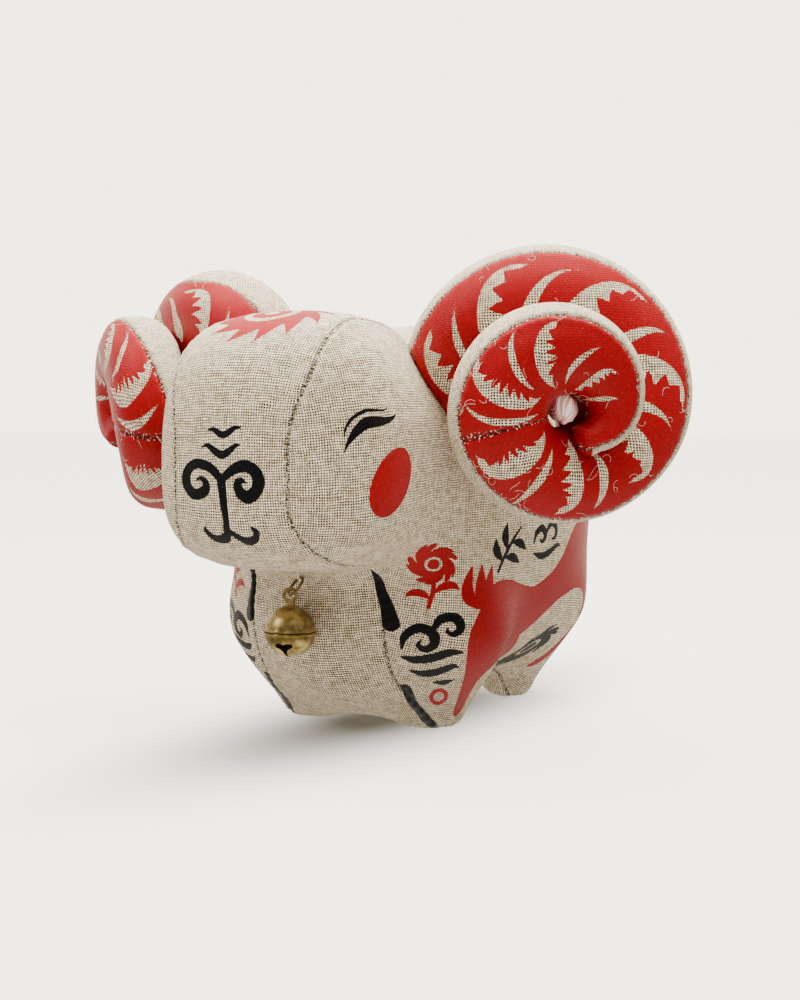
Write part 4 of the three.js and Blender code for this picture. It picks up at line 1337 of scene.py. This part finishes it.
# The mouth is one keyhole shape cut straight through the lower cup: x and z in mm from the bell's middle
mouth_half = [
    (0.0, -2.66), (0.45, -2.42), (1.1, -2.3), (1.75, -2.42), (2.12, -2.78), (2.1, -3.15), (1.75, -3.42),
    (1.25, -3.62), (0.8, -3.95), (0.5, -4.4), (0.4, -5.0), (0.4, -8.0),
]
mouth_turn = math.radians(15)
outline = mouth_half + [(-x, z) for x, z in reversed(mouth_half[1:])]
mouth_points = []
for depth in (-8.0, 8.0):
    for x, z in outline:
        turned_x = x * math.cos(mouth_turn) - depth * math.sin(mouth_turn)
        turned_y = x * math.sin(mouth_turn) + depth * math.cos(mouth_turn)
        mouth_points.append((turned_x / 1000, turned_y / 1000, z / 1000))
count = len(outline)
mouth_faces = [tuple(range(count)), tuple(reversed(range(count, 2 * count)))]
for step in range(count):
    mouth_faces.append((step, step + count, (step + 1) % count + count, (step + 1) % count))
mouth_mesh = bpy.data.meshes.new("mouth")
mouth_mesh.from_pydata(mouth_points, [], mouth_faces)
mouth = added("mouth", mouth_mesh)
face_outwards()
cup = turned_cup("bell_cup", cup_profile([(0.0, bell_radius)], 0.05), -1)
combine(cup, mouth, "DIFFERENCE")
set_bell_piece(cup, "bell_cup", "bell_lower")

# Ring: an oval of bent brass wire through the bell's eye, darker than the bell
ring = copied("bell_ring", "oval_ring")
finer(ring)
bpy.ops.object.shade_smooth()
ring_material = brass_material.copy()
ring_material.name = "dark brass wire"
ring.data.materials.append(ring_material)
for join in list(ring_material.node_tree.links):
    if join.to_socket.name == "Base Color":
        dark_brass = mixed(ring_material.node_tree, 0.45, join.from_socket, colour(48, 38, 22))
        ring_material.node_tree.links.new(dark_brass, join.to_socket)
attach(ring, "root")
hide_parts("bell_ring")

# Thread: a loop of white two-ply cotton thread, sewn through the chin fold, that holds the ring
loop = copied("bell_thread", "chin_thread")
loop.data.remesh_voxel_size = 0.00005
bpy.ops.object.voxel_remesh()
points = points_of(loop.data) * 1000
middle = (points.max(axis=0) + points.min(axis=0)) / 2
_, _, axes = np.linalg.svd(points - middle, full_matrices=False)
flat = (points - middle) @ axes.T
around = np.arctan2(flat[:, 1], flat[:, 0])
parts = 48
slots = np.round(around / (2 * np.pi) * parts).astype(int) % parts
reach = np.hypot(flat[:, 0], flat[:, 1])
core = np.array([reach[slots == slot].mean() if (slots == slot).any() else 1.0 for slot in range(parts)])
core = core[slots]
turn_about = np.arctan2(flat[:, 2], reach - core)
ply = 0.07 * np.cos(2 * (turn_about - 5 * around))
move_points(loop.data, (points + ply[:, None] * normals_of(loop.data)) / 1000)
bpy.ops.object.shade_smooth()
loop_material, loop_tree, loop_surface = new_material("white cotton thread")
loop_place = node(loop_tree, "ShaderNodeTexCoord").outputs["Object"]
loop_grain = noise(loop_tree, loop_place, 6000.0, 3.0)
loop_share = spread(loop_tree, loop_grain, 0.35, 0.65, 0.0, 1.0)
loop_tint = mixed(loop_tree, loop_share, colour(186, 176, 160), colour(236, 230, 218))
loop_tree.links.new(loop_tint, loop_surface.inputs["Base Color"])
loop_surface.inputs["Roughness"].default_value = 0.9
loop.data.materials.append(loop_material)
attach(loop, "root")
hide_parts("bell_thread")

# Stray fibres: short curled ends of white thread, caught on the print and along the seams of the horns
fibre_radius = 0.00003
fibre_points = 10
draws = np.random.RandomState(11)


def stray_fibres(horn, name, count):
    mesh = horn.data
    points = points_of(mesh)
    normals = normals_of(mesh)
    turn, around = vertex_course(mesh)
    printed = (around > 4) & (around < 175) & (turn > 20) & (turn < 560)
    by_seam = printed & (around < 16)
    curve = bpy.data.curves.new(name, "CURVE")
    curve.dimensions = "3D"
    curve.bevel_depth = fibre_radius
    curve.bevel_resolution = 0
    curve.use_fill_caps = True
    for number in range(count):
        start = draws.choice(np.nonzero(by_seam if number % 3 == 0 else printed)[0])
        upward = normals[start]
        forward = np.cross(upward, draws.normal(size=3))
        forward /= np.linalg.norm(forward)
        bend = draws.uniform(-0.28, 0.28)
        step = draws.uniform(0.00018, 0.00045)
        lift = draws.uniform(0.0001, 0.0005)
        place = points[start] + fibre_radius * upward
        spline = curve.splines.new("POLY")
        spline.points.add(fibre_points - 1)
        for knot_number, knot in enumerate(spline.points):
            rise = lift * math.sin(math.pi * knot_number / fibre_points)
            knot.co = (*(place + rise * upward), 1)
            bend += draws.normal(0, 0.09)
            forward = math.cos(bend) * forward + math.sin(bend) * np.cross(upward, forward)
            place = place + step * forward
    fibres = added(name, curve)
    bpy.ops.object.convert(target="MESH")
    fibres.data.materials.clear()
    fibres.data.materials.append(loop_material)
    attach(fibres, "root")


stray_fibres(near_horn, "stray_fibres_left", 90)
stray_fibres(far_horn, "stray_fibres_right", 60)

# Floor and light: a pale seamless sheet under soft, even light from above and from the front.
# To the camera the floor glows, and its glow dims round the figure as a painted shadow.
bpy.ops.object.select_all(action="DESELECT")
bpy.ops.mesh.primitive_plane_add(size=8)
floor = bpy.context.object
floor.name = "floor"
floor_material, floor_tree, floor_surface = new_material("pale seamless floor")
floor_surface.inputs["Base Color"].default_value = colour(124, 123, 120)
floor_surface.inputs["Roughness"].default_value = 0.7
floor_surface.inputs["Emission Color"].default_value = (1.06, 1.0, 0.88, 1)
floor_place = node(floor_tree, "ShaderNodeTexCoord").outputs["Object"]
floor_place = node(floor_tree, "ShaderNodeMapping", [
    (0, floor_place), (2, (0.0, 0.0, -camera_turn)), (3, (26.0, 7.8, 0.0)),
]).outputs[0]
away = node(floor_tree, "ShaderNodeVectorMath", [(0, floor_place)], operation="LENGTH").outputs[1]
# Painted shadow: the glow that the camera sees falls away towards the figure's footprint; other rays get an
# even glow
pale = spread(floor_tree, away, 0.1, 1.32, 0.04, 3.2)
floor_seen = node(floor_tree, "ShaderNodeLightPath").outputs["Is Camera Ray"]
pale = node(floor_tree, "ShaderNodeMix", [(0, floor_seen), (2, 0.78), (3, pale)]).outputs[0]
floor_tree.links.new(pale, floor_surface.inputs["Emission Strength"])
floor.visible_glossy = False
floor.data.materials.append(floor_material)

world = bpy.data.worlds.new("studio")
bpy.context.scene.world = world
world.use_nodes = True
sky = world.node_tree
direction = node(sky, "ShaderNodeTexCoord").outputs["Generated"]
high = node(sky, "ShaderNodeSeparateXYZ", [(0, direction)]).outputs[2]
backward = (-math.sin(camera_turn), math.cos(camera_turn), 0.0)
behind = node(sky, "ShaderNodeVectorMath", [(0, direction), (1, backward)], operation="DOT_PRODUCT")
above = spread(sky, high, 0.5, 0.95, 0.35, 5.0)
under = spread(sky, high, -0.85, -0.3, 1.2, 0.0)
wall = spread(sky, behind.outputs[1], 0.1, 0.7, 0.0, 1.3)
wall = reckon(sky, "MULTIPLY", wall, spread(sky, high, -0.3, 0.0, 0.0, 1.0))
glow = reckon(sky, "ADD", reckon(sky, "ADD", above, under), wall)
seen = node(sky, "ShaderNodeLightPath").outputs["Is Camera Ray"]
glow = node(sky, "ShaderNodeMix", [(0, seen), (2, glow), (3, 4.4)]).outputs[0]
sky.nodes["Background"].inputs[0].default_value = (1.08, 1.0, 0.84, 1)
sky.links.new(glow, sky.nodes["Background"].inputs[1])


def soft_lamp(name, place, aim, size, power):
    lamp = bpy.data.objects.new(name, bpy.data.lights.new(name, "AREA"))
    bpy.context.scene.collection.objects.link(lamp)
    lamp.data.size = size
    lamp.data.energy = power
    lamp.location = place
    lamp.rotation_euler = (Vector(aim) - Vector(place)).to_track_quat("-Z", "Y").to_euler()
    return lamp


soft_lamp("window light", (-0.5, -0.6, 0.7), (0, 0, 0.06), 0.4, 4.6)
soft_lamp("light above", (0, 0.15, 0.85), (0, 0, 0.06), 0.6, 34.0).visible_glossy = False
